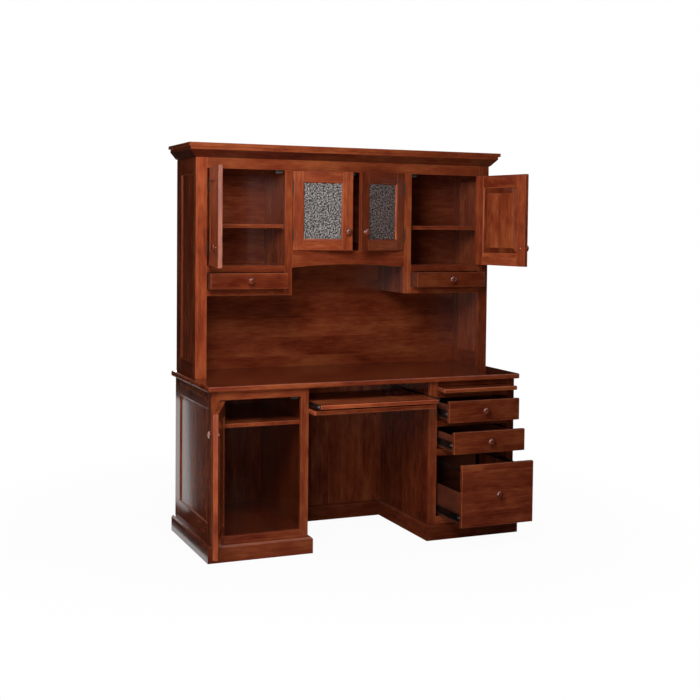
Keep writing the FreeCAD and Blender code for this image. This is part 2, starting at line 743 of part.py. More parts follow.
def make_hutch_drawer(name, opening_x, out):
    """A shallow drawer whose box runs on two wooden strips."""
    make_drawer_front(name, opening_x, (hutch_drawer_bottom, hutch_drawer_top), hutch_face, out)
    box_x = (opening_x[0] + HUTCH_BOX_SIDE_GAP, opening_x[1] - HUTCH_BOX_SIDE_GAP)
    start_y = hutch_face + FRONT_BOARD
    box_y = (start_y, start_y + HUTCH_BOX_DEPTH)
    box_z = (hutch_drawer_bottom + HUTCH_BOX_RISE, hutch_drawer_top - HUTCH_BOX_BELOW_TOP)
    add(name + "_box", pull(box_boards(box_x, box_y, box_z, box_z[1]), out))
    strip_z = (bay_top + SHELF_BOARD, box_z[0] - RUNNER_PLAY)
    for strip_x in (box_x[0], box_x[1] - RUNNER_WIDTH):
        wood_runners.append(board((strip_x, strip_x + RUNNER_WIDTH), hutch_depth_y, strip_z))


def make_writing_board():
    """A pull-out board between two pairs of wooden guides, with a nose that laps over its slot."""
    opening_x = flip(pedestal_opening_x)
    x = (opening_x[0] + FRONT_GAP, opening_x[1] - FRONT_GAP)
    z = (slot_bottom + WRITING_BOARD_PLAY, slot_bottom + WRITING_BOARD_PLAY + WRITING_BOARD)
    nose_x = (opening_x[0] - WRITING_BOARD_LIP, opening_x[1] + WRITING_BOARD_LIP)
    nose_back = base_face - WRITING_BOARD_PLAY
    nose = board(nose_x, (nose_back - WRITING_BOARD_NOSE, nose_back), z)
    blade = board(x, (nose_back, base_face + WRITING_BOARD_DEPTH), z)
    whole = nose.fuse(blade).removeSplitter()
    add("writing_board", pull(whole.Solids, WRITING_BOARD_OUT))
    wall = flip(pedestal_x)
    guide_y = (base_inside, -BACK_BOARD)
    low_z = (z[0] - RUNNER_PLAY - BOARD_GUIDE, z[0] - RUNNER_PLAY)
    high_z = (z[1] + RUNNER_PLAY, case_top)
    for guide_z in (low_z, high_z):
        wood_runners.append(board((wall[0], x[0] + RUNNER_WIDTH), guide_y, guide_z))
        wood_runners.append(board((x[1] - RUNNER_WIDTH, wall[1]), guide_y, guide_z))


def make_keyboard_tray():
    x = (-knee + SLIDE_SPACE, knee - SLIDE_SPACE)
    start_y = drop_y[1] + TRAY_SETBACK
    tray = board(x, (start_y, start_y + TRAY_DEPTH), (tray_bottom, tray_bottom + TRAY_BOARD))
    case, moving = slide_pair(-knee, knee, tray_bottom, start_y, TRAY_SLIDE_LENGTH, TRAY_SLIDE_HEIGHT)
    case_slides.extend(case)
    add("keyboard_tray", pull([tray], TRAY_OUT))
    add("keyboard_tray_slides", pull(moving, TRAY_OUT))


def make_drop_front():
    """A flap on two pins, a little behind the face, that drops flat under the tray."""
    x = (-knee + GAP, knee - GAP)
    flap = board(x, drop_y, (drop_bottom, case_top - GAP))
    knob = make_knob(0, drop_y[0], drop_bottom + DROP_KNOB_RISE)
    pin_start = V(x[1], drop_axis_y, drop_axis_z)
    pin = Part.makeCylinder(DROP_PIN, GAP + DROP_PIN_SEAT - DROP_PIN_PLAY, pin_start, RIGHT)
    axis = V(0, drop_axis_y, drop_axis_z)
    add("drop_front", turn([flap], axis, RIGHT, DROP_OPEN))
    add("drop_front_knob_and_pins", turn([knob, pin] + mirrored([pin]), axis, RIGHT, DROP_OPEN))


def write_parts():
    os.makedirs("parts", exist_ok=True)
    for name, solids in nodes.items():
        shape = solids[0] if len(solids) == 1 else Part.makeCompound(solids)
        shape.exportStep(os.path.join("parts", name + ".step"))


make_desk_top()
make_plinth()
make_base_case()
make_base_face_frame()
make_hutch_case()
make_hutch_face_frame()
make_valance()
make_crown()
make_shelves()
make_doors()
make_base_drawers()
make_hutch_drawer("left_hutch_drawer", cabinet_opening_x, LEFT_HUTCH_DRAWER_OUT)
make_hutch_drawer("right_hutch_drawer", flip(cabinet_opening_x), RIGHT_HUTCH_DRAWER_OUT)
make_writing_board()
make_keyboard_tray()
make_drop_front()
add("case_hinge_leaves", case_hinges)
add("door_catches", catches)
add("case_slide_rails", case_slides)
add("wood_runners", wood_runners)
add("shelf_supports", supports)
write_parts()
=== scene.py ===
import json
import math
import random
from collections import namedtuple

import bmesh
import bpy
from mathutils import Matrix, Vector, noise

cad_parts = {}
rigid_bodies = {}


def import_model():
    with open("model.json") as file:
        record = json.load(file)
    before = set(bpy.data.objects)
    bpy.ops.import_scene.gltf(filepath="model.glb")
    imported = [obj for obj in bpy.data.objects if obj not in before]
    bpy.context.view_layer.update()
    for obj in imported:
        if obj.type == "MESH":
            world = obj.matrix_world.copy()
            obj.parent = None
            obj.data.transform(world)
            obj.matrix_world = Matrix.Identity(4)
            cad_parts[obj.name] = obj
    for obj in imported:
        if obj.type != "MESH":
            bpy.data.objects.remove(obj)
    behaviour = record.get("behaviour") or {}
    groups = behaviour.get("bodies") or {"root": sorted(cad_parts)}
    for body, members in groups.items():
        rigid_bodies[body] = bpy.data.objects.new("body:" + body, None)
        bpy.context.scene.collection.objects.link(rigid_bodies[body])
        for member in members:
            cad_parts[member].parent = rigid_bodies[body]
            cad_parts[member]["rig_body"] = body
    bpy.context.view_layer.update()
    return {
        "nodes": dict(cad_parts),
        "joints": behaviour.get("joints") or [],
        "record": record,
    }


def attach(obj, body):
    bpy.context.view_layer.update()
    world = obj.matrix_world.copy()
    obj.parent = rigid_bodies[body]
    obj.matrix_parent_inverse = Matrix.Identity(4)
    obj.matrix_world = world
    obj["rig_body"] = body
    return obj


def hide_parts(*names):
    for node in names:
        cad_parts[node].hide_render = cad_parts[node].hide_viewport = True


# Credenza with hutch: the finish of every piece, in metres.
# Pieces are made with the doors shut, where boards lie along the axes, then turned to rest.

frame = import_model()

MM = 0.001
X, Y, Z = 0, 1, 2
FORWARD = Vector((0, -1, 0))
BACKWARD = Vector((0, 1, 0))
UPWARD = Vector((0, 0, 1))

# Boards: how far apart two points are before they count as two, and what counts as flat or sharp
WELD = 0.005 * MM
FLAT = math.radians(0.5)
SHARP = math.radians(40)
CREASE = math.radians(50)

# Rounding of the boards' edges, by the end of the node's name
EASED = {
    "writing_board": 5.0 * MM,
    "keyboard_tray": 3.0 * MM,
    "_front": 2.5 * MM,
    "adjustable_shelves": 2.0 * MM,
    "_box": 1.5 * MM,
    "_frame": 1.0 * MM,
    "_rails": 0.5 * MM,
    "_slides": 0.5 * MM,
}
EASED_ELSEWHERE = 0.8 * MM
EASED_STEPS = 3
EASED_PROFILE = 0.5
# A face that looks less straight up or down than this belongs to a board's edge
EDGE_TILT = 0.97

# Grain: how far boards, and the staves that they are glued from, differ in their place in the log
GRAIN_RUN = 40.0
GRAIN_SWING = 0.05
GRAIN_DEPTH = (0.015, 0.06)
STAVE = 0.095
STAVE_SHIFT = 0.6
BOARD_SEED = 37.0

# Figure of the wood: layers of noise, drawn out along the grain, and the weight of all that shades it
Layer = namedtuple("Layer", "scale along detail weight")
MOTTLE = Layer(scale=9.0, along=0.35, detail=4.0, weight=0.60)
FLAKES = Layer(scale=34.0, along=0.40, detail=3.0, weight=0.30)
FLECKS = Layer(scale=170.0, along=0.10, detail=3.0, weight=0.28)
FIBRES = Layer(scale=700.0, along=0.02, detail=3.0, weight=0.16)
RING_ALONG = 0.10
RING_WEIGHT = 0.06
STAVE_WEIGHT = 0.07
BOARD_WEIGHT = 0.04
FIGURE_OFFSET = 0.235
FIGURE_STOPS = (0.33, 0.50, 0.67)

# Wear and painted highlight on rounded edges: how much of an edge is rubbed through and drawn lighter, on
# wood the least and the most, where it stands in for highlights along the edges too
WOOD_RUB_AND_HIGHLIGHT = (0.15, 0.75)
METAL_RUB = 0.6

# Roughness: how far it goes below and above its middle
WOOD_SHEEN = (0.02, 0.05)
METAL_SHEEN = (0.08, 0.12)

# Raised panels and the moulded edges round panels and panes
PANEL_BEVEL = 30.0 * MM
PANEL_STEP = 1.6 * MM
PANEL_FIELD_INSET = 1.0 * MM
PANEL_FIELD_ROUND = 0.6 * MM
PANEL_CORE = 6.0 * MM
PANEL_CREASE = math.radians(3)
BEAD_WIDTH = 5.0 * MM
BEAD_RISE = 0.9
BEAD_STEPS = 6
STOP_WIDTH = 7.0 * MM
STOP_RISE = 0.85

# Knobs, as radius and height of points on the turned outline, in millimetres
KNOB_OUTLINE = [
    (0.0, 0.0),
    (9.0, 0.0),
    (9.0, 1.8),
    (8.0, 3.0),
    (6.4, 4.6),
    (6.0, 7.4),
    (7.4, 10.2),
    (11.8, 12.5),
    (15.8, 14.9),
    (17.0, 17.2),
    (16.0, 19.8),
    (12.8, 22.7),
    (7.3, 25.1),
    (0.0, 26.0),
]
KNOB_SMOOTHING = 4
KNOB_REACH = 10.0 * MM
TURN_STEPS = 40

# Hinges and screws
KNUCKLE_RADIUS = 3.2 * MM
KNUCKLE_ROUND = 0.4 * MM
KNUCKLE_MIDDLE = 20.0 * MM
KNUCKLE_GAP = 0.3 * MM
FINIAL_RADIUS = 2.6 * MM
FINIAL_LENGTH = 4.5 * MM
LEAF = 0.8 * MM
LEAF_GAP = 2.0 * MM
LEAF_DEPTH = (4.0 * MM, 19.5 * MM)
LEAF_SCREWS = (-22.0 * MM, 0.0, 22.0 * MM)
LEAF_SCREW_RADIUS = 2.6 * MM
LEAF_SCREW_HEIGHT = 0.15 * MM
KNOB_SCREW_RADIUS = 4.0 * MM
KNOB_SCREW_HEIGHT = 2.0 * MM
# A screw's head and its driver recess, as shares of their own radius and of the head's height
SCREW_HEAD = [(0.0, 0.0), (1.0, 0.0), (1.0, 0.35), (0.85, 0.75), (0.6, 0.95)]
SCREW_RECESS = [(1.0, 1.0), (0.9, 0.45), (0.0, 0.35)]
RECESS_SHARE = 0.42

# Slides
SLIDE_SHEET = 1.2 * MM
SLIDE_SCREWS = 5
SLIDE_SCREW_RADIUS = 3.6 * MM
SLIDE_SCREW_HEIGHT = 1.6 * MM
SLIDE_SCREW_FROM_END = 35.0 * MM
LEVER_FROM_END = 8.0 * MM
LEVER_SIZE = Vector((5.0, 20.0, 9.0)) * MM
LEVER_ROUND = 1.2 * MM

# Catches and shelf supports
POLE_PLATE = 1.6 * MM
POLE_INSET = 7.0 * MM
CATCH_SET_BACK = 1.2 * MM
CATCH_ROUND = 2.0 * MM
SUPPORT_ROUND = 1.6 * MM

# Pebbled glass: coarse and fine pebbles round a middle depth, other ones on each face
PEBBLE = 7.5 * MM
PEBBLE_DEPTH = 0.55 * MM
PEBBLE_GRID = 1.9 * MM
PEBBLE_MIDDLE = 0.5
PEBBLE_COARSE = 0.4
PEBBLE_FINE = 0.3
PEBBLE_FINER = 2.3
PEBBLE_SHIFT = Vector((9.1, 4.7, 2.2))
PEBBLE_FACE = 5.0

# Camera, found from the lines and corners of the photograph
IMAGE = 700
FOCAL_PIXELS = 1183.2
AXIS_PIXEL = (350.0, 280.0)
SENSOR = 36.0
CAMERA_PLACE = Vector((-2.23133, -5.58459, 1.48193))
CAMERA_YAW = math.radians(23.079)
CAMERA_PITCH = math.radians(-2.543)
CAMERA_ROLL = math.radians(0.586)

# Colours, linear
CHERRY_DARK = (0.105, 0.0140, 0.0055)
CHERRY = (0.205, 0.0370, 0.0122)
CHERRY_LIGHT = (0.310, 0.078, 0.025)
# Lighter colour of rounded edges: wear, and a painted highlight along them
CHERRY_WORN_AND_HIGHLIT = (0.40, 0.105, 0.040)
KNOB_DARK = (0.090, 0.016, 0.0070)
KNOB_WOOD = (0.160, 0.030, 0.0125)
KNOB_LIGHT = (0.220, 0.046, 0.0200)
BOX_DARK = (0.070, 0.016, 0.0075)
BOX_WOOD = (0.130, 0.031, 0.0135)
BOX_LIGHT = (0.190, 0.052, 0.0240)
# Lighter colour of rounded edges: wear, and a painted highlight along them
BOX_WORN_AND_HIGHLIT = (0.24, 0.08, 0.04)
BRONZE = (0.035, 0.024, 0.018)
BRONZE_BRIGHT = (0.16, 0.11, 0.08)
# Slide metal, drawn far darker than zinc's own colour as painted shade
ZINC_WITH_PAINTED_SHADE = (0.05, 0.05, 0.05)
ZINC_BRIGHT_WITH_PAINTED_SHADE = (0.20, 0.20, 0.195)
STEEL = (0.55, 0.55, 0.55)
STEEL_BRIGHT = (0.85, 0.85, 0.84)
GLASS_DARK = (0.02, 0.018, 0.016)
# Painted glints in the frost
GLASS_PAINTED_GLINT = (0.82, 0.76, 0.73)
# Catch plastic, drawn near black as painted shade
PLASTIC_DARK_WITH_PAINTED_SHADE = (0.028, 0.030, 0.026)
PLASTIC_LIGHT_WITH_PAINTED_SHADE = (0.050, 0.053, 0.047)
FLOOR_GREY = 0.86
WORLD_GREY = 0.04
CLOTH_GREY = 0.01

# Floor: its half width, its drop below the plinth, and how white it looks near the middle and far off
FLOOR_HALF = 20.0
FLOOR_DROP = 0.3 * MM
FLOOR_FADE = (0.8, 2.2)
FLOOR_WHITE = (0.955, 1.0)

# Stain with painted light and shade: how much lighter or darker a node is drawn than the rest of the wood,
# partly its boards' own tone and partly painted light and painted shade for how the lamps fall on it;
# painted shade darkens the desk top, the hutch back and the right glass door and pane, and painted light
# brightens the right hutch door, the left glass door frame, the keyboard tray and the drop front
NODE_STAIN_AND_PAINTED_LIGHT = {
    "desk_top": 0.63,
    "hutch_back": 0.82,
    "left_hutch_drawer_front": 0.95,
    "right_hutch_drawer_front": 0.64,
    "left_glass_door_frame": 1.25,
    "right_glass_door_frame": 0.77,
    "right_glass_door_glass": 0.60,
    "right_hutch_door_frame": 1.65,
    "right_hutch_door_panel": 1.40,
    "keyboard_tray": 1.70,
    "drop_front": 1.80,
    "writing_board": 1.15,
    "upper_drawer_front": 0.76,
    "middle_drawer_front": 0.86,
}
# The same for single boards of a node, by their number in it
SOLID_STAIN_AND_PAINTED_LIGHT = {
    # Cap in front; bed in front, on the left and on the right, drawn darker as painted shade under the cap
    "crown_moulding": {0: 1.20, 3: 0.40, 4: 0.42, 5: 0.42},
    # Left and right stile, left and right mullion, top rail
    "hutch_face_frame": {0: 1.57, 1: 0.80, 2: 1.18, 3: 1.22, 4: 0.96},
    # The right one, drawn darker as painted shade
    "hutch_dividers": {1: 0.70},
    # All of the right side, drawn darker as painted shade
    "hutch_side_frames": {1: 0.78, 3: 0.78, 5: 0.78, 7: 0.78},
    # Right outer stile, then the rails over the writing board and over each drawer, drawn darker as painted
    # shade under the desk top and the drawers
    "base_face_frame": {1: 0.55, 7: 0.45, 8: 0.65, 9: 0.70, 10: 0.70},
    # Stile at the free edge, drawn lighter as a painted highlight
    "base_door_frame": {1: 1.50},
    # Left pedestal and kneehole, drawn darker as painted shade inside them
    "base_backs": {0: 0.45, 2: 0.82},
    # Left pedestal, drawn darker as painted shade inside it
    "cabinet_floors": {0: 0.50},
    # Left and right of the kneehole, drawn darker as painted shade
    "pedestal_inner_sides": {0: 0.50, 1: 0.58},
    # Left front and outer side; right front and inner side; back of the kneehole; all drawn darker as
    # painted shade
    "plinth": {0: 0.86, 1: 0.75, 3: 0.50, 5: 0.60, 6: 0.60},
}
# Painted highlight on the rounded edge of a board, drawn lighter than its faces
EDGE_PAINTED_HIGHLIGHT = {"desk_top": 1.15}
# Painted shade on a panel's sloping margins, darkest at the bottom: end grain at the bottom, long grain,
# end grain at the top and long grain
MARGIN_PAINTED_SHADE = (0.50, 0.72, 0.62, 0.85)
# Stops round the panes, in the same order, by door; the right door's right-hand stop is drawn lighter as a
# painted highlight
STOP_PAINTED_HIGHLIGHT = {"left_glass_door": (1.0, 1.0, 1.0, 1.0), "right_glass_door": (1.0, 2.6, 1.0, 1.0)}
# The power of the stain and painted light and shade that green and blue take, so that a darker one is also
# redder
REDDER = 1.1


def body_of(node):
    return frame["nodes"][node]["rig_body"]


def slot_of(node):
    for part in frame["record"]["subparts"]:
        if part["node"] == node:
            return part["material_slot"]


def closing_turn(body):
    """The turn that shuts a hinged body; one that slides or stands still has none."""
    for joint in frame["joints"]:
        if joint["child"] == body and joint["type"] == "hinge":
            centre = Matrix.Translation(Vector(joint["pos_m"]))
            shut = math.radians(joint["range_deg"][0])
            return centre @ Matrix.Rotation(shut, 4, Vector(joint["axis"])) @ centre.inverted()
    return Matrix.Identity(4)


def span(points):
    """The lowest and the highest corner of some points."""
    low = Vector([min(p[i] for p in points) for i in range(3)])
    high = Vector([max(p[i] for p in points) for i in range(3)])
    return low, high


def shut_points(node):
    turn = closing_turn(body_of(node))
    return [turn @ vertex.co for vertex in frame["nodes"][node].data.vertices]


def solids_of(node):
    """The separate solids of a node: each is whole once its triangles close."""
    numbers = {}
    points = []
    index = []
    for point in shut_points(node):
        key = tuple(round(c / WELD) for c in point)
        if key not in numbers:
            numbers[key] = len(points)
            points.append(point)
        index.append(numbers[key])
    solids = []
    faces = []
    open_edges = set()
    for polygon in frame["nodes"][node].data.polygons:
        corners = [index[v] for v in polygon.vertices]
        faces.append(corners)
        for start, end in zip(corners, corners[1:] + corners[:1]):
            if (end, start) in open_edges:
                open_edges.remove((end, start))
            else:
                open_edges.add((start, end))
        if not open_edges:
            used = sorted({v for face in faces for v in face})
            place = {v: i for i, v in enumerate(used)}
            renumbered = [[place[v] for v in face] for face in faces]
            solids.append(([points[v] for v in used], renumbered))
            faces = []
    return solids


class Shape:
    """The points and faces of one piece, with the grain, tone, stain with painted light and shade, and worn
    and highlit edges of its parts.
    """

    def __init__(self, name):
        self.name = name
        self.random = random.Random(name)
        self.points = []
        self.faces = []
        self.grain = []
        self.tone = []
        self.stain_and_painted_light = []
        self.wear_and_highlight = []

    def take(self, bm, along=None, wear_and_highlight=(), stain_and_painted_light=1.0, painted_edge_highlight=None):
        """Add a part, with its grain along its longest side or a given axis."""
        bm.verts.index_update()
        low, high = span([vertex.co for vertex in bm.verts])
        size = high - low
        order = sorted((X, Y, Z), key=lambda axis: size[axis], reverse=True)
        if along is not None:
            order.remove(along)
            order.insert(0, along)
        middle = (low + high) / 2
        shift = (
            self.random.uniform(0, GRAIN_RUN),
            self.random.uniform(-GRAIN_SWING, GRAIN_SWING),
            self.random.uniform(*GRAIN_DEPTH),
        )
        tone = self.random.uniform(-1, 1)
        first = len(self.points)
        for vertex in bm.verts:
            local = vertex.co - middle
            self.points.append(vertex.co.copy())
            self.grain.extend(local[axis] + offset for axis, offset in zip(order, shift))
            self.tone.append(tone)
        for face in bm.faces:
            self.faces.append([first + vertex.index for vertex in face.verts])
            self.wear_and_highlight.append(1.0 if face in wear_and_highlight else 0.0)
            # Faces on a board's edge take the painted edge highlight, the others the stain with painted
            # light and shade
            on_edge = painted_edge_highlight and abs(face.normal.z) < EDGE_TILT
            depth = painted_edge_highlight if on_edge else stain_and_painted_light
            self.stain_and_painted_light.extend((depth, depth ** REDDER, depth ** REDDER))
        bm.free()

    def finish(self, body, slot, *nodes, look=None, crease=CREASE):
        """Make the piece, turn it to rest and put it on its body; its look is its slot's unless given."""
        to_rest = closing_turn(body).inverted()
        mesh = bpy.data.meshes.new(self.name)
        mesh.from_pydata([to_rest @ point for point in self.points], [], self.faces)
        mesh.attributes.new("grain", "FLOAT_VECTOR", "POINT").data.foreach_set("vector", self.grain)
        mesh.attributes.new("tone", "FLOAT", "POINT").data.foreach_set("value", self.tone)
        # Per face: the stain with painted light and shade, and the edges drawn lighter for wear and as a
        # painted highlight
        mesh.attributes.new("stain_and_painted_light", "FLOAT_VECTOR", "FACE").data.foreach_set("vector", self.stain_and_painted_light)
        mesh.attributes.new("wear_and_highlight", "FLOAT", "FACE").data.foreach_set("value", self.wear_and_highlight)
        mesh.shade_smooth()
        mesh.set_sharp_from_angle(angle=crease)
        mesh.materials.append(materials[look or slot])
        piece = bpy.data.objects.new(self.name, mesh)
        bpy.context.scene.collection.objects.link(piece)
        normals = piece.modifiers.new("Even normals", "WEIGHTED_NORMAL")
        normals.keep_sharp = True
        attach(piece, body)
        if nodes:
            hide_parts(*nodes)
        return piece


def ease(bm, radius):
    """Round the sharp outer edges and return the faces of the rounding."""
    sharp = [edge for edge in bm.edges if edge.is_convex and edge.calc_face_angle(0) > SHARP]
    made = bmesh.ops.bevel(
        bm,
        geom=sharp,
        offset=radius,
        segments=EASED_STEPS,
        profile=EASED_PROFILE,
        affect="EDGES",
        clamp_overlap=True,
    )
    return set(made["faces"])


def easing(node):
    for ending, radius in EASED.items():
        if node.endswith(ending):
            return radius
    return EASED_ELSEWHERE


def solid_mesh(points, faces):
    """A solid read from the frame, with its flat faces whole again."""
    bm = bmesh.new()
    corners = [bm.verts.new(point) for point in points]
    for face in faces:
        bm.faces.new([corners[i] for i in face])
    bmesh.ops.dissolve_limit(bm, angle_limit=FLAT, verts=bm.verts, edges=bm.edges)
    return bm


def slab(low, high):
    """A plain block between two corners."""
    bm = bmesh.new()
    middle = (low + high) / 2
    size = high - low
    place = Matrix.Translation(middle) @ Matrix.Diagonal((*size, 1))
    bmesh.ops.create_cube(bm, size=1, matrix=place)
    return bm


def layers(rings):
    """A closed solid through rings of points, with a flat cap on the first and the last."""
    bm = bmesh.new()
    rows = [[bm.verts.new(point) for point in ring] for ring in rings]
    for row, following in zip(rows, rows[1:]):
        for i in range(len(row)):
            j = (i + 1) % len(row)
            bm.faces.new([row[i], row[j], following[j], following[i]])
    bm.faces.new(rows[0])
    bm.faces.new(rows[-1])
    bmesh.ops.recalc_face_normals(bm, faces=bm.faces)
    return bm


def turned(outline, centre, out):
    """A solid turned about a line: the outline is radius and height along the line."""
    side = out.orthogonal().normalized()
    other = out.cross(side)
    bm = bmesh.new()
    rows = []
    for radius, height in outline:
        middle = centre + out * height
        if radius == 0:
            rows.append([bm.verts.new(middle)] * TURN_STEPS)
            continue
        row = []
        for step in range(TURN_STEPS):
            angle = math.tau * step / TURN_STEPS
            away = side * math.cos(angle) + other * math.sin(angle)
            row.append(bm.verts.new(middle + away * radius))
        rows.append(row)
    for row, following in zip(rows, rows[1:]):
        for i in range(TURN_STEPS):
            j = (i + 1) % TURN_STEPS
            corners = list(dict.fromkeys([row[i], row[j], following[j], following[i]]))
            bm.faces.new(corners)
    bmesh.ops.recalc_face_normals(bm, faces=bm.faces)
    return bm


def smooth_curve(points, steps):
    """Points on a curve that passes through a few given ones."""
    curve = []
    last = len(points) - 1
    for i in range(last):
        before = Vector(points[max(i - 1, 0)])
        start = Vector(points[i])
        end = Vector(points[i + 1])
        after = Vector(points[min(i + 2, last)])
        for step in range(steps):
            t = step / steps
            bend = 2 * before - 5 * start + 4 * end - after
            twist = 3 * start - before - 3 * end + after
            curve.append(start + t / 2 * (end - before + t * (bend + t * twist)))
    curve.append(Vector(points[last]))
    return [(max(radius, 0.0), height) for radius, height in curve]


def rectangle(axis, low, high, inset, level):
    """Four corners of a rectangle across an axis, drawn in from its limits."""
    first, second = [a for a in (X, Y, Z) if a != axis]
    corners = []
    for from_low_first, from_low_second in ((1, 1), (0, 1), (0, 0), (1, 0)):
        point = Vector((0, 0, 0))
        point[axis] = level
        point[first] = low[first] + inset if from_low_first else high[first] - inset
        point[second] = low[second] + inset if from_low_second else high[second] - inset
        corners.append(point)
    return corners


def mitred_bars(axis, low, high, outline):
    """Four mitred bars round a rectangle; the outline is inset and level, all the way round."""
    corners = [rectangle(axis, low, high, inset, level) for inset, level in outline]
    bars = []
    for side in range(4):
        end = (side + 1) % 4
        rings = [[corner[side] for corner in corners], [corner[end] for corner in corners]]
        bars.append(layers(rings))
    return bars


def bead_outline(width, base, crest):
    """A quarter round that stands in a corner: full height at the wall, none at its width."""
    points = [(0.0, base), (0.0, crest)]
    for step in range(1, BEAD_STEPS + 1):
        angle = math.pi / 2 * step / BEAD_STEPS
        points.append((width * math.sin(angle), base + (crest - base) * math.cos(angle)))
    return points


# Stain with painted light and shade of a node, or of one of its boards
def stain_and_light_of(node, number=0):
    whole = NODE_STAIN_AND_PAINTED_LIGHT.get(node, 1.0)
    return SOLID_STAIN_AND_PAINTED_LIGHT.get(node, {}).get(number, whole)


def dress(node):
    """A node's own solids with rounded edges, grain and a finish; the writing board's grain runs across."""
    shape = Shape(node + "_finish")
    along = X if node == "writing_board" else None
    for number, (points, faces) in enumerate(solids_of(node)):
        bm = solid_mesh(points, faces)
        wear_and_highlight = ease(bm, easing(node))
        shape.take(bm, along, wear_and_highlight, stain_and_light_of(node, number), EDGE_PAINTED_HIGHLIGHT.get(node))
    shape.finish(body_of(node), slot_of(node), node)


def make_raised_panel(door):
    """A panel with a raised field and sloping margins on both faces."""
    node = door + "_panel"
    low, high = span(shut_points(node))
    frame_low, frame_high = span(shut_points(door + "_frame"))
    middle = (frame_low.y + frame_high.y) / 2
    raised = (frame_high.y - frame_low.y) / 2 - PANEL_FIELD_INSET
    shape = Shape(node + "_finish")
    inset = Vector((PANEL_BEVEL, 0, PANEL_BEVEL))
    depth = Vector((0, raised, 0))
    field_low = Vector((low.x, middle, low.z)) + inset - depth
    field_high = Vector((high.x, middle, high.z)) - inset + depth
    field = slab(field_low, field_high)
    shape.take(field, Z, ease(field, PANEL_FIELD_ROUND), stain_and_light_of(node))
    slope = [
        (0.0, middle - PANEL_CORE / 2),
        (PANEL_BEVEL, middle - raised + PANEL_STEP),
        (PANEL_BEVEL, middle + raised - PANEL_STEP),
        (0.0, middle + PANEL_CORE / 2),
    ]
    # The margins are drawn darker as painted shade, most at the bottom
    for bar, margin_shade in zip(mitred_bars(Y, low, high, slope), MARGIN_PAINTED_SHADE):
        shape.take(bar, Z, stain_and_painted_light=stain_and_light_of(node) * margin_shade)
    shape.finish(door, slot_of(node), node, crease=PANEL_CREASE)
    beads = Shape(door + "_moulded_edges")
    for face, base in ((frame_low.y, middle - PANEL_CORE / 2), (frame_high.y, middle + PANEL_CORE / 2)):
        crest = base + (face - base) * BEAD_RISE
        for bar in mitred_bars(Y, low, high, bead_outline(BEAD_WIDTH, base, crest)):
            beads.take(bar, stain_and_painted_light=stain_and_light_of(door + "_frame"))
    beads.finish(door, slot_of(node))


def make_side_beads():
    """A moulded edge round each recessed side panel."""
    beads = Shape("side_panel_moulded_edges")
    for points, _ in solids_of("side_panels"):
        low, high = span(points)
        outer = low.x if low.x < 0 else high.x
        frame_side = math.copysign(BEAD_WIDTH, outer)
        for bar in mitred_bars(X, low, high, bead_outline(BEAD_WIDTH, outer, outer + frame_side)):
            beads.take(bar)
    beads.finish("case", "cherry")


def pebbled(point, face):
    """How far the glass stands in from its face at a point."""
    where = Vector((point.x / PEBBLE, face, point.z / PEBBLE))
    coarse = noise.noise(where)
    fine = noise.noise(where * PEBBLE_FINER + PEBBLE_SHIFT)
    return PEBBLE_DEPTH * (PEBBLE_MIDDLE + PEBBLE_COARSE * coarse + PEBBLE_FINE * fine)


def make_pane(door):
    """A pane with a pebbled surface on both faces, and the stops that hold it."""
    node = door + "_glass"
    low, high = span(shut_points(node))
    across = round((high.x - low.x) / PEBBLE_GRID)
    up = round((high.z - low.z) / PEBBLE_GRID)
    bm = bmesh.new()
    sheets = []
    for face_y, inwards in ((low.y, 1), (high.y, -1)):
        rows = []
        for k in range(up + 1):
            row = []
            for i in range(across + 1):
                x = low.x + (high.x - low.x) * i / across
                z = low.z + (high.z - low.z) * k / up
                depth = pebbled(Vector((x, 0, z)), inwards * PEBBLE_FACE)
                row.append(bm.verts.new((x, face_y + inwards * depth, z)))
            rows.append(row)
        sheets.append(rows)
        for k in range(up):
            for i in range(across):
                corners = [rows[k][i], rows[k][i + 1], rows[k + 1][i + 1], rows[k + 1][i]]
                bm.faces.new(corners)
    front, back = [border(rows) for rows in sheets]
    for i in range(len(front)):
        j = (i + 1) % len(front)
        bm.faces.new([front[i], front[j], back[j], back[i]])
    bmesh.ops.recalc_face_normals(bm, faces=bm.faces)
    shape = Shape(door + "_pebbled_pane")
    shape.take(bm, stain_and_painted_light=stain_and_light_of(node))
    shape.finish(door, slot_of(node), node)
    frame_low, frame_high = span(shut_points(door + "_frame"))
    stops = Shape(door + "_glass_stops")
    for face, base in ((frame_low.y, low.y), (frame_high.y, high.y)):
        crest = base + (face - base) * STOP_RISE
        bars = mitred_bars(Y, low, high, bead_outline(STOP_WIDTH, base, crest))
        # The right door's right-hand stop is drawn lighter as a painted highlight
        for bar, stop_highlight in zip(bars, STOP_PAINTED_HIGHLIGHT[door]):
            stops.take(bar, stain_and_painted_light=stain_and_light_of(door + "_frame") * stop_highlight)
    stops.finish(door, "cherry")


def border(rows):
    """The points round the rim of a grid, in order."""
    right = [row[-1] for row in rows]
    left = [row[0] for row in rows]
    return rows[0] + right[1:] + rows[-1][-2::-1] + left[-2:0:-1]


def knob_mesh(centre, out):
    outline = [(radius * MM, height * MM) for radius, height in smooth_curve(KNOB_OUTLINE, KNOB_SMOOTHING)]
    return turned(outline, centre, out)


def screw_mesh(centre, out, radius, height):
    """A domed screw head with a round driver recess."""
    recess = radius * RECESS_SHARE
    outline = [(radius * width, height * rise) for width, rise in SCREW_HEAD]
    outline += [(recess * width, height * rise) for width, rise in SCREW_RECESS]
    return turned(outline, centre, out)


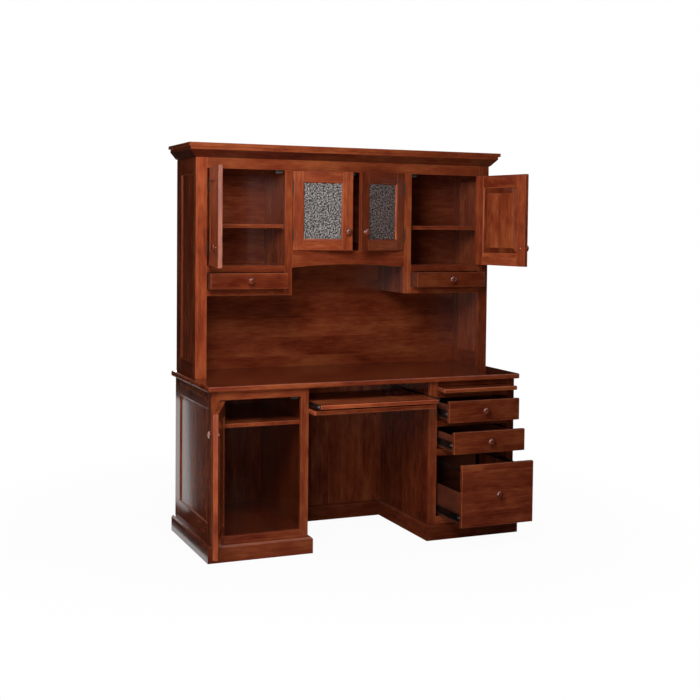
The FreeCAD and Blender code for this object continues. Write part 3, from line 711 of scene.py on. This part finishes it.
def make_drawer_knob(drawer):
    node = drawer + "_knob"
    low, high = span(shut_points(node))
    middle = (low + high) / 2
    shape = Shape(drawer + "_turned_knob")
    shape.take(knob_mesh(Vector((middle.x, high.y, middle.z)), FORWARD), along=Y)
    shape.finish(drawer, slot_of(node), node, look="knob_wood")


def make_door_knob(door):
    """The knob on a door's face and its screw on the back."""
    node = door + "_knob_and_hinges"
    frame_low, frame_high = span(shut_points(door + "_frame"))
    reach = [point for point in shut_points(node) if point.y < frame_low.y - KNOB_REACH]
    low, high = span(reach)
    middle = (low + high) / 2
    shape = Shape(door + "_turned_knob")
    shape.take(knob_mesh(Vector((middle.x, frame_low.y, middle.z)), FORWARD), along=Y)
    shape.finish(door, "cherry", node, look="knob_wood")
    screw = Shape(door + "_knob_screw")
    back = Vector((middle.x, frame_high.y, middle.z))
    screw.take(screw_mesh(back, BACKWARD, KNOB_SCREW_RADIUS, KNOB_SCREW_HEIGHT))
    screw.finish(door, "zinc_steel", node, look="bright_steel")


def knuckle(axis, span_z):
    length = span_z[1] - span_z[0]
    outline = [
        (0.0, 0.0),
        (KNUCKLE_RADIUS - KNUCKLE_ROUND, 0.0),
        (KNUCKLE_RADIUS, KNUCKLE_ROUND),
        (KNUCKLE_RADIUS, length - KNUCKLE_ROUND),
        (KNUCKLE_RADIUS - KNUCKLE_ROUND, length),
        (0.0, length),
    ]
    return turned(outline, Vector((axis.x, axis.y, span_z[0])), UPWARD)


def finial(axis, z, out):
    outline = [(0.0, 0.0)]
    for step in range(BEAD_STEPS + 1):
        angle = math.pi / 2 * step / BEAD_STEPS
        outline.append((FINIAL_RADIUS * math.cos(angle), FINIAL_LENGTH * math.sin(angle)))
    outline[-1] = (0.0, FINIAL_LENGTH)
    return turned(outline, Vector((axis.x, axis.y, z)), out)


def leaf(shape, axis, span_z, side):
    """One leaf with its screws, and its limits in x; side is the way from the pin to its board."""
    edge = axis.x + side * LEAF_GAP / 2
    inner = edge - side * LEAF
    x = sorted((edge, inner))
    plate_low = Vector((x[0], axis.y + LEAF_DEPTH[0], span_z[0]))
    plate_high = Vector((x[1], axis.y + LEAF_DEPTH[1], span_z[1]))
    shape.take(slab(plate_low, plate_high))
    middle_y = (plate_low.y + plate_high.y) / 2
    middle_z = (span_z[0] + span_z[1]) / 2
    for offset in LEAF_SCREWS:
        head = Vector((inner, middle_y, middle_z + offset))
        towards = Vector((-side, 0, 0))
        shape.take(screw_mesh(head, towards, LEAF_SCREW_RADIUS, LEAF_SCREW_HEIGHT))
    return x


def neck(shape, x, axis, span_z):
    """The strip that joins a leaf to its knuckle."""
    shape.take(slab(Vector((x[0], axis.y, span_z[0])), Vector((x[1], axis.y + LEAF_DEPTH[0], span_z[1]))))


def make_hinges():
    """Butt hinges: fixed halves with their pins on the case, moving halves on the doors."""
    fixed = Shape("case_hinges")
    boxes = [span(points) for points, _ in solids_of("case_hinge_leaves")]
    for joint in frame["joints"]:
        door = joint["child"]
        node = door + "_knob_and_hinges"
        if node not in frame["nodes"]:
            continue
        moving = Shape(door + "_hinges")
        axis = Vector(joint["pos_m"])
        frame_low, frame_high = span(shut_points(door + "_frame"))
        side = -1 if axis.x < (frame_low.x + frame_high.x) / 2 else 1
        for low, high in boxes:
            if not (low.x < axis.x < high.x and frame_low.z < low.z < frame_high.z):
                continue
            middle = (low.z + high.z) / 2
            own = (middle - KNUCKLE_MIDDLE / 2, middle + KNUCKLE_MIDDLE / 2)
            x = leaf(fixed, axis, (low.z, high.z), side)
            for part in ((low.z, own[0] - KNUCKLE_GAP), (own[1] + KNUCKLE_GAP, high.z)):
                neck(fixed, x, axis, part)
                fixed.take(knuckle(axis, part))
            fixed.take(finial(axis, high.z, UPWARD))
            fixed.take(finial(axis, low.z, -UPWARD))
            x = leaf(moving, axis, (low.z, high.z), -side)
            neck(moving, x, axis, own)
            moving.take(knuckle(axis, own))
        moving.finish(door, "dark_bronze", node)
    fixed.finish("case", "dark_bronze", "case_hinge_leaves")


def lever_mesh(web, towards, front, middle_z):
    """A lever near a slide's front end, which stands out from the web on its open side."""
    start = Vector((web, front + LEVER_FROM_END, middle_z))
    middle = start + Vector((towards * LEVER_SIZE.x, LEVER_SIZE.y, 0)) / 2
    return slab(middle - LEVER_SIZE / 2, middle + LEVER_SIZE / 2)


def make_slides(node):
    """Channels with rounded bends and screws in their webs; those that move have a bright lever."""
    body = body_of(node)
    moving = body != "case"
    shape = Shape(node + "_steel")
    levers = Shape(node + "_levers")
    for points, faces in solids_of(node):
        low, high = span(points)
        bm = solid_mesh(points, faces)
        widest = max(bm.faces, key=lambda face: face.calc_area())
        towards = -1 if widest.normal.x > 0 else 1
        shape.take(bm, None, ease(bm, easing(node)))
        web = (high.x if towards < 0 else low.x) + towards * SLIDE_SHEET
        middle_z = (low.z + high.z) / 2
        run = high.y - low.y - 2 * SLIDE_SCREW_FROM_END
        for number in range(SLIDE_SCREWS):
            y = low.y + SLIDE_SCREW_FROM_END + run * number / (SLIDE_SCREWS - 1)
            head = Vector((web, y, middle_z))
            shape.take(screw_mesh(head, Vector((towards, 0, 0)), SLIDE_SCREW_RADIUS, SLIDE_SCREW_HEIGHT))
        if moving:
            lever = lever_mesh(web, towards, low.y, middle_z)
            levers.take(lever, None, ease(lever, LEVER_ROUND))
    shape.finish(body, slot_of(node), node)
    if moving:
        levers.finish(body, slot_of(node), look="bright_steel")


def make_catches():
    """Magnetic catches: a moulded body with two dark pole plates at the front."""
    bodies = Shape("door_catch_bodies")
    plates = Shape("door_catch_plates")
    for points, _ in solids_of("door_catches"):
        low, high = span(points)
        bm = slab(low + Vector((0, CATCH_SET_BACK, 0)), high)
        bodies.take(bm, None, ease(bm, CATCH_ROUND))
        for z in (low.z + POLE_INSET, high.z - POLE_INSET - POLE_PLATE):
            plate_low = Vector((low.x + POLE_INSET, low.y, z))
            plate_high = Vector((high.x - POLE_INSET, high.y - POLE_INSET, z + POLE_PLATE))
            plates.take(slab(plate_low, plate_high))
    bodies.finish("case", "grey_plastic", "door_catches")
    plates.finish("case", "dark_bronze", "door_catches")


def make_supports():
    """Shelf supports: small rounded blocks under the ends of the shelves."""
    shape = Shape("shelf_support_pins")
    for points, _ in solids_of("shelf_supports"):
        low, high = span(points)
        bm = slab(low, high)
        shape.take(bm, None, ease(bm, SUPPORT_ROUND))
    shape.finish("case", "zinc_steel", "shelf_supports")


def make_drop_front_fittings():
    """The drop front's knob, which hangs below it when it is down, and its pivot pins."""
    node = "drop_front_knob_and_pins"
    front_low, front_high = span(shut_points("drop_front"))
    reach = [point for point in shut_points(node) if point.z < front_low.z - KNOB_REACH]
    low, high = span(reach)
    middle = (low + high) / 2
    knob = Shape("drop_front_turned_knob")
    knob.take(knob_mesh(Vector((middle.x, middle.y, front_low.z)), -UPWARD), along=Z)
    knob.finish("drop_front", "cherry", node, look="knob_wood")
    pins = Shape("drop_front_pins")
    for outer in (-1, 1):
        pin = [p for p in shut_points(node) if outer * p.x > front_high.x - MM]
        low, high = span(pin)
        middle = (low + high) / 2
        radius = (high.z - low.z) / 2
        length = high.x - low.x
        start = Vector((low.x, middle.y, middle.z))
        outline = [(0.0, 0.0), (radius, 0.0), (radius, length), (0.0, length)]
        pins.take(turned(outline, start, Vector((1, 0, 0))))
    pins.finish("drop_front", "dark_bronze", node)


class Nodes:
    """A node tree with short calls to add and join nodes."""

    def __init__(self, tree):
        self.tree = tree
        tree.nodes.clear()

    def add(self, kind, settings=None, **inputs):
        made = self.tree.nodes.new(kind)
        for name, value in (settings or {}).items():
            setattr(made, name, value)
        for name, value in inputs.items():
            self.put(made.inputs[name.replace("_", " ")], value)
        return made

    def put(self, socket, value):
        if isinstance(value, bpy.types.NodeSocket):
            self.tree.links.new(value, socket)
        else:
            socket.default_value = value

    def math(self, operation, *values):
        made = self.tree.nodes.new("ShaderNodeMath")
        made.operation = operation
        for socket, value in zip(made.inputs, values):
            self.put(socket, value)
        return made.outputs[0]

    def mix(self, blend, factor, first, second):
        made = self.tree.nodes.new("ShaderNodeMix")
        made.data_type = "RGBA"
        made.blend_type = blend
        sockets = {socket.identifier: socket for socket in made.inputs}
        self.put(sockets["Factor_Float"], factor)
        self.put(sockets["A_Color"], first)
        self.put(sockets["B_Color"], second)
        return next(s for s in made.outputs if s.identifier == "Result_Color")

    def drawn_out(self, vector, along):
        """A vector whose first axis counts for less, which draws out a texture along it."""
        mapped = self.add("ShaderNodeMapping", Vector=vector, Scale=(along, 1.0, 1.0))
        return mapped.outputs[0]

    def noise(self, vector, scale, detail, roughness=0.5):
        made = self.add(
            "ShaderNodeTexNoise",
            Vector=vector,
            Scale=scale,
            Detail=detail,
            Roughness=roughness,
        )
        return made.outputs[0]

    def layer(self, vector, layer):
        return self.noise(self.drawn_out(vector, layer.along), layer.scale, layer.detail)

    def ramp(self, factor, stops):
        made = self.tree.nodes.new("ShaderNodeValToRGB")
        elements = made.color_ramp.elements
        while len(elements) < len(stops):
            elements.new(0.5)
        for element, (place, colour) in zip(elements, stops):
            element.position = place
            element.color = (*colour, 1)
        self.put(made.inputs[0], factor)
        return made.outputs[0]

    def between(self, value, low, high):
        made = self.add("ShaderNodeMapRange", Value=value, To_Min=low, To_Max=high)
        return made.outputs[0]

    def attribute(self, name):
        return self.add("ShaderNodeAttribute", {"attribute_name": name})

    def bump(self, height, strength, distance):
        made = self.add("ShaderNodeBump", Strength=strength, Distance=distance, Height=height)
        return made.outputs[0]


def grey(value):
    return (value, value, value, 1)


def surface(name, **settings):
    """A new material with its shader; settings go straight to the shader's sockets."""
    material = bpy.data.materials.new(name)
    material.use_nodes = True
    nodes = Nodes(material.node_tree)
    shader = nodes.add("ShaderNodeBsdfPrincipled", **settings)
    nodes.add("ShaderNodeOutputMaterial", Surface=shader.outputs[0])
    return material, nodes, shader


def make_wood(name, dark, middle, light, wear_and_highlight, gloss, coat=0.17, coat_ior=1.5):
    """Stained wood in glued staves: growth rings, mottle, fine fibres and edges lightened for wear and as a
    painted highlight, under lacquer, times each face's stain with painted light and shade.
    """
    material, nodes, shader = surface(
        name,
        Specular_IOR_Level=0.40,
        Coat_Weight=coat,
        Coat_IOR=coat_ior,
        Coat_Roughness=0.08,
    )
    place = nodes.attribute("grain").outputs["Vector"]
    tone = nodes.attribute("tone").outputs["Fac"]
    stain_and_painted_light = nodes.attribute("stain_and_painted_light").outputs["Color"]
    edge = nodes.attribute("wear_and_highlight").outputs["Fac"]
    parts = nodes.add("ShaderNodeSeparateXYZ", Vector=place)
    stave = nodes.math("FLOOR", nodes.math("DIVIDE", parts.outputs[Y], STAVE))
    seed = nodes.math("ADD", stave, nodes.math("MULTIPLY", tone, BOARD_SEED))
    lot = nodes.add("ShaderNodeTexWhiteNoise", {"noise_dimensions": "1D"}, W=seed)
    shift = nodes.add("ShaderNodeVectorMath", {"operation": "SCALE"}, Vector=lot.outputs["Color"])
    nodes.put(shift.inputs["Scale"], STAVE_SHIFT)
    moved = nodes.add("ShaderNodeVectorMath", {"operation": "ADD"})
    nodes.put(moved.inputs[0], place)
    nodes.put(moved.inputs[1], shift.outputs[0])
    log = moved.outputs[0]
    rings = nodes.add(
        "ShaderNodeTexWave",
        {"wave_type": "RINGS", "rings_direction": "X", "wave_profile": "SAW"},
        Vector=nodes.drawn_out(log, RING_ALONG),
        Scale=13.0,
        Distortion=5.0,
        Detail=3.0,
        Detail_Scale=2.2,
        Detail_Roughness=0.55,
    ).outputs["Fac"]
    mottle = nodes.layer(log, MOTTLE)
    fibres = nodes.layer(log, FIBRES)
    shades = [
        (rings, RING_WEIGHT),
        (nodes.layer(log, FLAKES), FLAKES.weight),
        (lot.outputs["Value"], STAVE_WEIGHT),
        (tone, BOARD_WEIGHT),
        (nodes.layer(log, FLECKS), FLECKS.weight),
        (fibres, FIBRES.weight),
    ]
    figure = nodes.math("MULTIPLY", mottle, MOTTLE.weight)
    for shade, weight in shades:
        figure = nodes.math("MULTIPLY_ADD", shade, weight, figure)
    figure = nodes.math("SUBTRACT", figure, FIGURE_OFFSET)
    colour = nodes.ramp(figure, list(zip(FIGURE_STOPS, (dark, middle, light))))
    # Rounded edges drawn lighter: wear, and a painted highlight along them
    rub_and_highlight = nodes.math("MULTIPLY", edge, nodes.between(mottle, *WOOD_RUB_AND_HIGHLIGHT))
    colour = nodes.mix("MIX", rub_and_highlight, colour, (*wear_and_highlight, 1))
    # Each face's stain with painted light and shade multiplies the colour
    colour = nodes.mix("MULTIPLY", 1.0, colour, stain_and_painted_light)
    roughness = nodes.between(mottle, gloss - WOOD_SHEEN[0], gloss + WOOD_SHEEN[1])
    nodes.put(shader.inputs["Base Color"], colour)
    nodes.put(shader.inputs["Roughness"], roughness)
    nodes.put(shader.inputs["Normal"], nodes.bump(fibres, strength=0.05, distance=0.05 * MM))
    return material


def make_metal(name, base, bright, gloss, spangle):
    """Plated or patinated metal with cloudy patches, rubbed edges and fine scratches."""
    material, nodes, shader = surface(name, Metallic=1.0)
    place = nodes.attribute("grain").outputs["Vector"]
    edge = nodes.attribute("wear_and_highlight").outputs["Fac"]
    cloud = nodes.noise(place, scale=spangle, detail=4.0, roughness=0.6)
    scratches = nodes.noise(nodes.drawn_out(place, along=0.05), scale=2500.0, detail=2.0)
    colour = nodes.mix("MIX", nodes.between(cloud, low=0.0, high=0.6), (*base, 1), (*bright, 1))
    colour = nodes.mix("MIX", nodes.math("MULTIPLY", edge, METAL_RUB), colour, (*bright, 1))
    roughness = nodes.between(cloud, gloss - METAL_SHEEN[0], gloss + METAL_SHEEN[1])
    nodes.put(shader.inputs["Base Color"], colour)
    nodes.put(shader.inputs["Roughness"], roughness)
    nodes.put(shader.inputs["Normal"], nodes.bump(scratches, strength=0.10, distance=0.05 * MM))
    return material


def make_glass(name):
    """Clear obscure glass: pebbled faces, a slight frost with painted glints in it and a grey cast, times
    the stain with painted shade.
    """
    material, nodes, shader = surface(name, IOR=1.5, Transmission_Weight=0.62)
    place = nodes.attribute("grain").outputs["Vector"]
    stain_and_painted_light = nodes.attribute("stain_and_painted_light").outputs["Color"]
    pebbles = nodes.noise(place, scale=165.0, detail=2.0)
    # Painted glints: the frost runs from near black to near white over the pebbles
    colour = nodes.ramp(pebbles, [(0.42, GLASS_DARK), (0.60, GLASS_PAINTED_GLINT)])
    # The stain with painted shade darkens the right pane
    colour = nodes.mix("MULTIPLY", 1.0, colour, stain_and_painted_light)
    nodes.put(shader.inputs["Base Color"], colour)
    nodes.put(shader.inputs["Roughness"], nodes.between(pebbles, low=0.05, high=0.25))
    nodes.put(shader.inputs["Normal"], nodes.bump(pebbles, strength=0.6, distance=1.0 * MM))
    return material


def make_plastic(name):
    """Moulded plastic with a fine spark-eroded grain, its grey drawn near black as painted shade."""
    material, nodes, shader = surface(name, Roughness=0.5)
    place = nodes.attribute("grain").outputs["Vector"]
    cloud = nodes.noise(place, scale=60.0, detail=4.0)
    grain = nodes.noise(place, scale=2500.0, detail=2.0)
    colour = nodes.ramp(cloud, [(0.3, PLASTIC_DARK_WITH_PAINTED_SHADE), (0.7, PLASTIC_LIGHT_WITH_PAINTED_SHADE)])
    nodes.put(shader.inputs["Base Color"], colour)
    nodes.put(shader.inputs["Normal"], nodes.bump(grain, strength=0.2, distance=0.1 * MM))
    return material


def background_ray(nodes):
    """One for a ray that shows the background: straight from the camera, or in metal and glass."""
    path = nodes.add("ShaderNodeLightPath")
    seen = nodes.math("MAXIMUM", path.outputs["Is Camera Ray"], path.outputs["Is Glossy Ray"])
    return nodes.math("MAXIMUM", seen, path.outputs["Is Transmission Ray"])


def make_floor():
    """A pale floor that keeps a soft shadow and is white to the camera far off."""
    material = bpy.data.materials.new("pale_floor")
    material.use_nodes = True
    nodes = Nodes(material.node_tree)
    diffuse = nodes.add("ShaderNodeBsdfDiffuse", Color=grey(FLOOR_GREY))
    white = nodes.add("ShaderNodeEmission", Color=grey(1.0), Strength=1.0)
    seen = background_ray(nodes)
    place = nodes.add("ShaderNodeNewGeometry").outputs["Position"]
    away = nodes.add("ShaderNodeVectorMath", {"operation": "LENGTH"}, Vector=place).outputs["Value"]
    far = nodes.add(
        "ShaderNodeMapRange",
        Value=away,
        From_Min=FLOOR_FADE[0],
        From_Max=FLOOR_FADE[1],
        To_Min=FLOOR_WHITE[0],
        To_Max=FLOOR_WHITE[1],
    )
    share = nodes.math("MULTIPLY", seen, far.outputs[0])
    mixed = nodes.add("ShaderNodeMixShader", Fac=share)
    nodes.put(mixed.inputs[1], diffuse.outputs[0])
    nodes.put(mixed.inputs[2], white.outputs[0])
    nodes.add("ShaderNodeOutputMaterial", Surface=mixed.outputs[0])
    mesh = bpy.data.meshes.new("floor")
    corner = (FLOOR_HALF, FLOOR_HALF)
    opposite = (-FLOOR_HALF, -FLOOR_HALF)
    mesh.from_pydata(level(opposite, corner, 0), [], [(0, 1, 2, 3)])
    mesh.materials.append(material)
    floor = bpy.data.objects.new("floor", mesh)
    floor.location.z = -FLOOR_DROP
    bpy.context.scene.collection.objects.link(floor)


def make_world():
    """White where it is seen, directly or in metal and glass, and a dim fill elsewhere."""
    world = bpy.data.worlds.new("studio")
    world.use_nodes = True
    nodes = Nodes(world.node_tree)
    colour = nodes.mix("MIX", background_ray(nodes), grey(WORLD_GREY), grey(1.0))
    backdrop = nodes.add("ShaderNodeBackground", Color=colour, Strength=1.0)
    nodes.add("ShaderNodeOutputWorld", Surface=backdrop.outputs[0])
    bpy.context.scene.world = world


def make_drape(name, *sheets):
    """Dark cloth out of sight, in sheets of four corners, that shows only in polished surfaces."""
    mesh = bpy.data.meshes.new(name)
    corners = [corner for sheet in sheets for corner in sheet]
    mesh.from_pydata(corners, [], [range(i, i + 4) for i in range(0, len(corners), 4)])
    mesh.materials.append(materials["drape"])
    drape = bpy.data.objects.new(name, mesh)
    drape.visible_camera = False
    drape.visible_diffuse = False
    drape.visible_shadow = False
    drape.visible_transmission = False
    bpy.context.scene.collection.objects.link(drape)


def upright(start, end, low, high):
    """The corners of a sheet that stands on a line between two points of the floor."""
    return [(*start, low), (*end, low), (*end, high), (*start, high)]


def level(near, far, height):
    """The corners of a sheet that lies flat between two points of the floor."""
    return [(*near, height), (far[0], near[1], height), (*far, height), (near[0], far[1], height)]


def make_dark_studio():
    """Dark cloth in front, on the right, on the floor and behind, and on the left with a window in it."""
    front, front_left = -8.0, -4.0
    right, back, ceiling = 7.0, 3.0, 7.0
    make_drape("front_drape", upright((front_left, front), (right, front), 0.0, ceiling))
    make_drape("right_drape", upright((right, front), (right, back), 0.0, ceiling))
    screen, near = -0.86, -2.0
    strip_left, strip_right = -0.812, -0.784
    lift = 1.0 * MM
    make_drape(
        "floor_cloth",
        level((screen, front), (strip_left, back), lift),
        level((strip_right, front), (right, back), lift),
    )
    sill, head = 0.05, 0.60
    window_near_sill, window_near_head = 0.105, 0.165
    make_drape(
        "left_screen",
        upright((screen, near), (screen, back), 0.0, sill),
        [
            (screen, near, sill),
            (screen, window_near_sill, sill),
            (screen, window_near_head, head),
            (screen, near, head),
        ],
        upright((screen, near), (screen, back), head, ceiling),
    )
    crown_low, crown_behind, crown_right = 0.9, 2.0, -0.70
    crown_sheet = upright((screen, crown_behind), (crown_right, crown_behind), crown_low, ceiling)
    make_drape("crown_screen", crown_sheet)
    desk_left, desk_behind, desk_right, desk_low = 0.80, 0.40, 3.0, 0.5
    desk_sheet = upright((desk_left, desk_behind), (desk_right, desk_behind), desk_low, ceiling)
    make_drape("desk_screen", desk_sheet)


def make_cloth(name):
    """Matt black cloth."""
    material, *_ = surface(name, Base_Color=grey(CLOTH_GREY), Roughness=1.0, Specular_IOR_Level=0.0)
    return material


def make_lamp(name, place, target, size, watts, lights_up=True):
    """A softbox; one that doesn't light things up only shows in polished surfaces."""
    lamp = bpy.data.lights.new(name, "AREA")
    lamp.shape = "RECTANGLE"
    lamp.size = size[0]
    lamp.size_y = size[1]
    lamp.energy = watts
    placed = bpy.data.objects.new(name, lamp)
    placed.visible_diffuse = lights_up
    placed.location = place
    placed.rotation_euler = (Vector(target) - Vector(place)).to_track_quat("-Z", "Y").to_euler()
    bpy.context.scene.collection.objects.link(placed)


def make_camera():
    """The photograph's own view."""
    forward = Vector((
        math.sin(CAMERA_YAW) * math.cos(CAMERA_PITCH),
        math.cos(CAMERA_YAW) * math.cos(CAMERA_PITCH),
        math.sin(CAMERA_PITCH),
    ))
    across = Vector((math.cos(CAMERA_YAW), -math.sin(CAMERA_YAW), 0))
    above = across.cross(forward)
    right = math.cos(CAMERA_ROLL) * across + math.sin(CAMERA_ROLL) * above
    up = math.cos(CAMERA_ROLL) * above - math.sin(CAMERA_ROLL) * across
    data = bpy.data.cameras.new("camera")
    data.sensor_width = SENSOR
    data.lens = SENSOR * FOCAL_PIXELS / IMAGE
    data.shift_x = 0.5 - AXIS_PIXEL[0] / IMAGE
    data.shift_y = AXIS_PIXEL[1] / IMAGE - 0.5
    camera = bpy.data.objects.new("camera", data)
    turn = Matrix((right, up, -forward)).transposed()
    camera.matrix_world = Matrix.Translation(CAMERA_PLACE) @ turn.to_4x4()
    bpy.context.scene.collection.objects.link(camera)
    bpy.context.scene.camera = camera


materials = {
    "cherry": make_wood("cherry", CHERRY_DARK, CHERRY, CHERRY_LIGHT, CHERRY_WORN_AND_HIGHLIT, gloss=0.18),
    "knob_wood": make_wood(
        "knob_wood", KNOB_DARK, KNOB_WOOD, KNOB_LIGHT, KNOB_LIGHT, gloss=0.14, coat=1.0, coat_ior=1.6
    ),
    "drawer_wood": make_wood("drawer_wood", BOX_DARK, BOX_WOOD, BOX_LIGHT, BOX_WORN_AND_HIGHLIT, gloss=0.38),
    "dark_bronze": make_metal("dark_bronze", BRONZE, BRONZE_BRIGHT, gloss=0.38, spangle=120.0),
    "zinc_steel": make_metal("zinc_steel", ZINC_WITH_PAINTED_SHADE, ZINC_BRIGHT_WITH_PAINTED_SHADE, gloss=0.34, spangle=200.0),
    "bright_steel": make_metal("bright_steel", STEEL, STEEL_BRIGHT, gloss=0.40, spangle=200.0),
    "textured_glass": make_glass("textured_glass"),
    "grey_plastic": make_plastic("grey_plastic"),
    "drape": make_cloth("drape"),
}

panel_doors = ["base_door", "left_hutch_door", "right_hutch_door"]
glass_doors = ["left_glass_door", "right_glass_door"]
drawer_fronts = [name for name in sorted(frame["nodes"]) if name.endswith("_drawer_front")]
drawers = [name.removesuffix("_front") for name in drawer_fronts]

for name in sorted(frame["nodes"]):
    board = slot_of(name) in ("cherry", "drawer_wood") and not name.endswith("_knob")
    if (board and not name.endswith("_door_panel")) or name.endswith("_hanging_rails"):
        dress(name)
    elif name.endswith("_slides") or name == "case_slide_rails":
        make_slides(name)

for door in panel_doors:
    make_raised_panel(door)
for door in glass_doors:
    make_pane(door)
for door in panel_doors + glass_doors:
    make_door_knob(door)
for drawer in drawers:
    make_drawer_knob(drawer)
make_side_beads()
make_hinges()
make_catches()
make_supports()
make_drop_front_fittings()

make_floor()
make_world()
make_dark_studio()
make_lamp("key", (-1.20, -2.07, 2.19), target=(-0.2, -0.35, 1.2), size=(0.8, 0.8), watts=39)
make_lamp("fill", (-1.38, -2.62, 0.74), target=(0.0, -0.5, 0.8), size=(0.8, 0.8), watts=14)
make_lamp("front_softbox", (-0.86, -2.2, 1.53), target=(-0.77, -0.70, 1.53), size=(0.08, 0.6), watts=1.4)
make_lamp(
    "gloss_softbox", (-0.9, -3.6, 3.1), target=(-0.1, -0.4, 1.3), size=(1.3, 1.0), watts=36, lights_up=False
)
make_lamp("right_softbox", (4.0, 0.35, 1.0), target=(0.75, -0.2, 0.95), size=(1.2, 1.6), watts=42)
make_lamp("back_softbox", (1.0, 4.0, 1.5), target=(0.1, 0.0, 1.0), size=(1.4, 1.4), watts=60)
make_camera()
bpy.context.scene.view_settings.view_transform = "Standard"
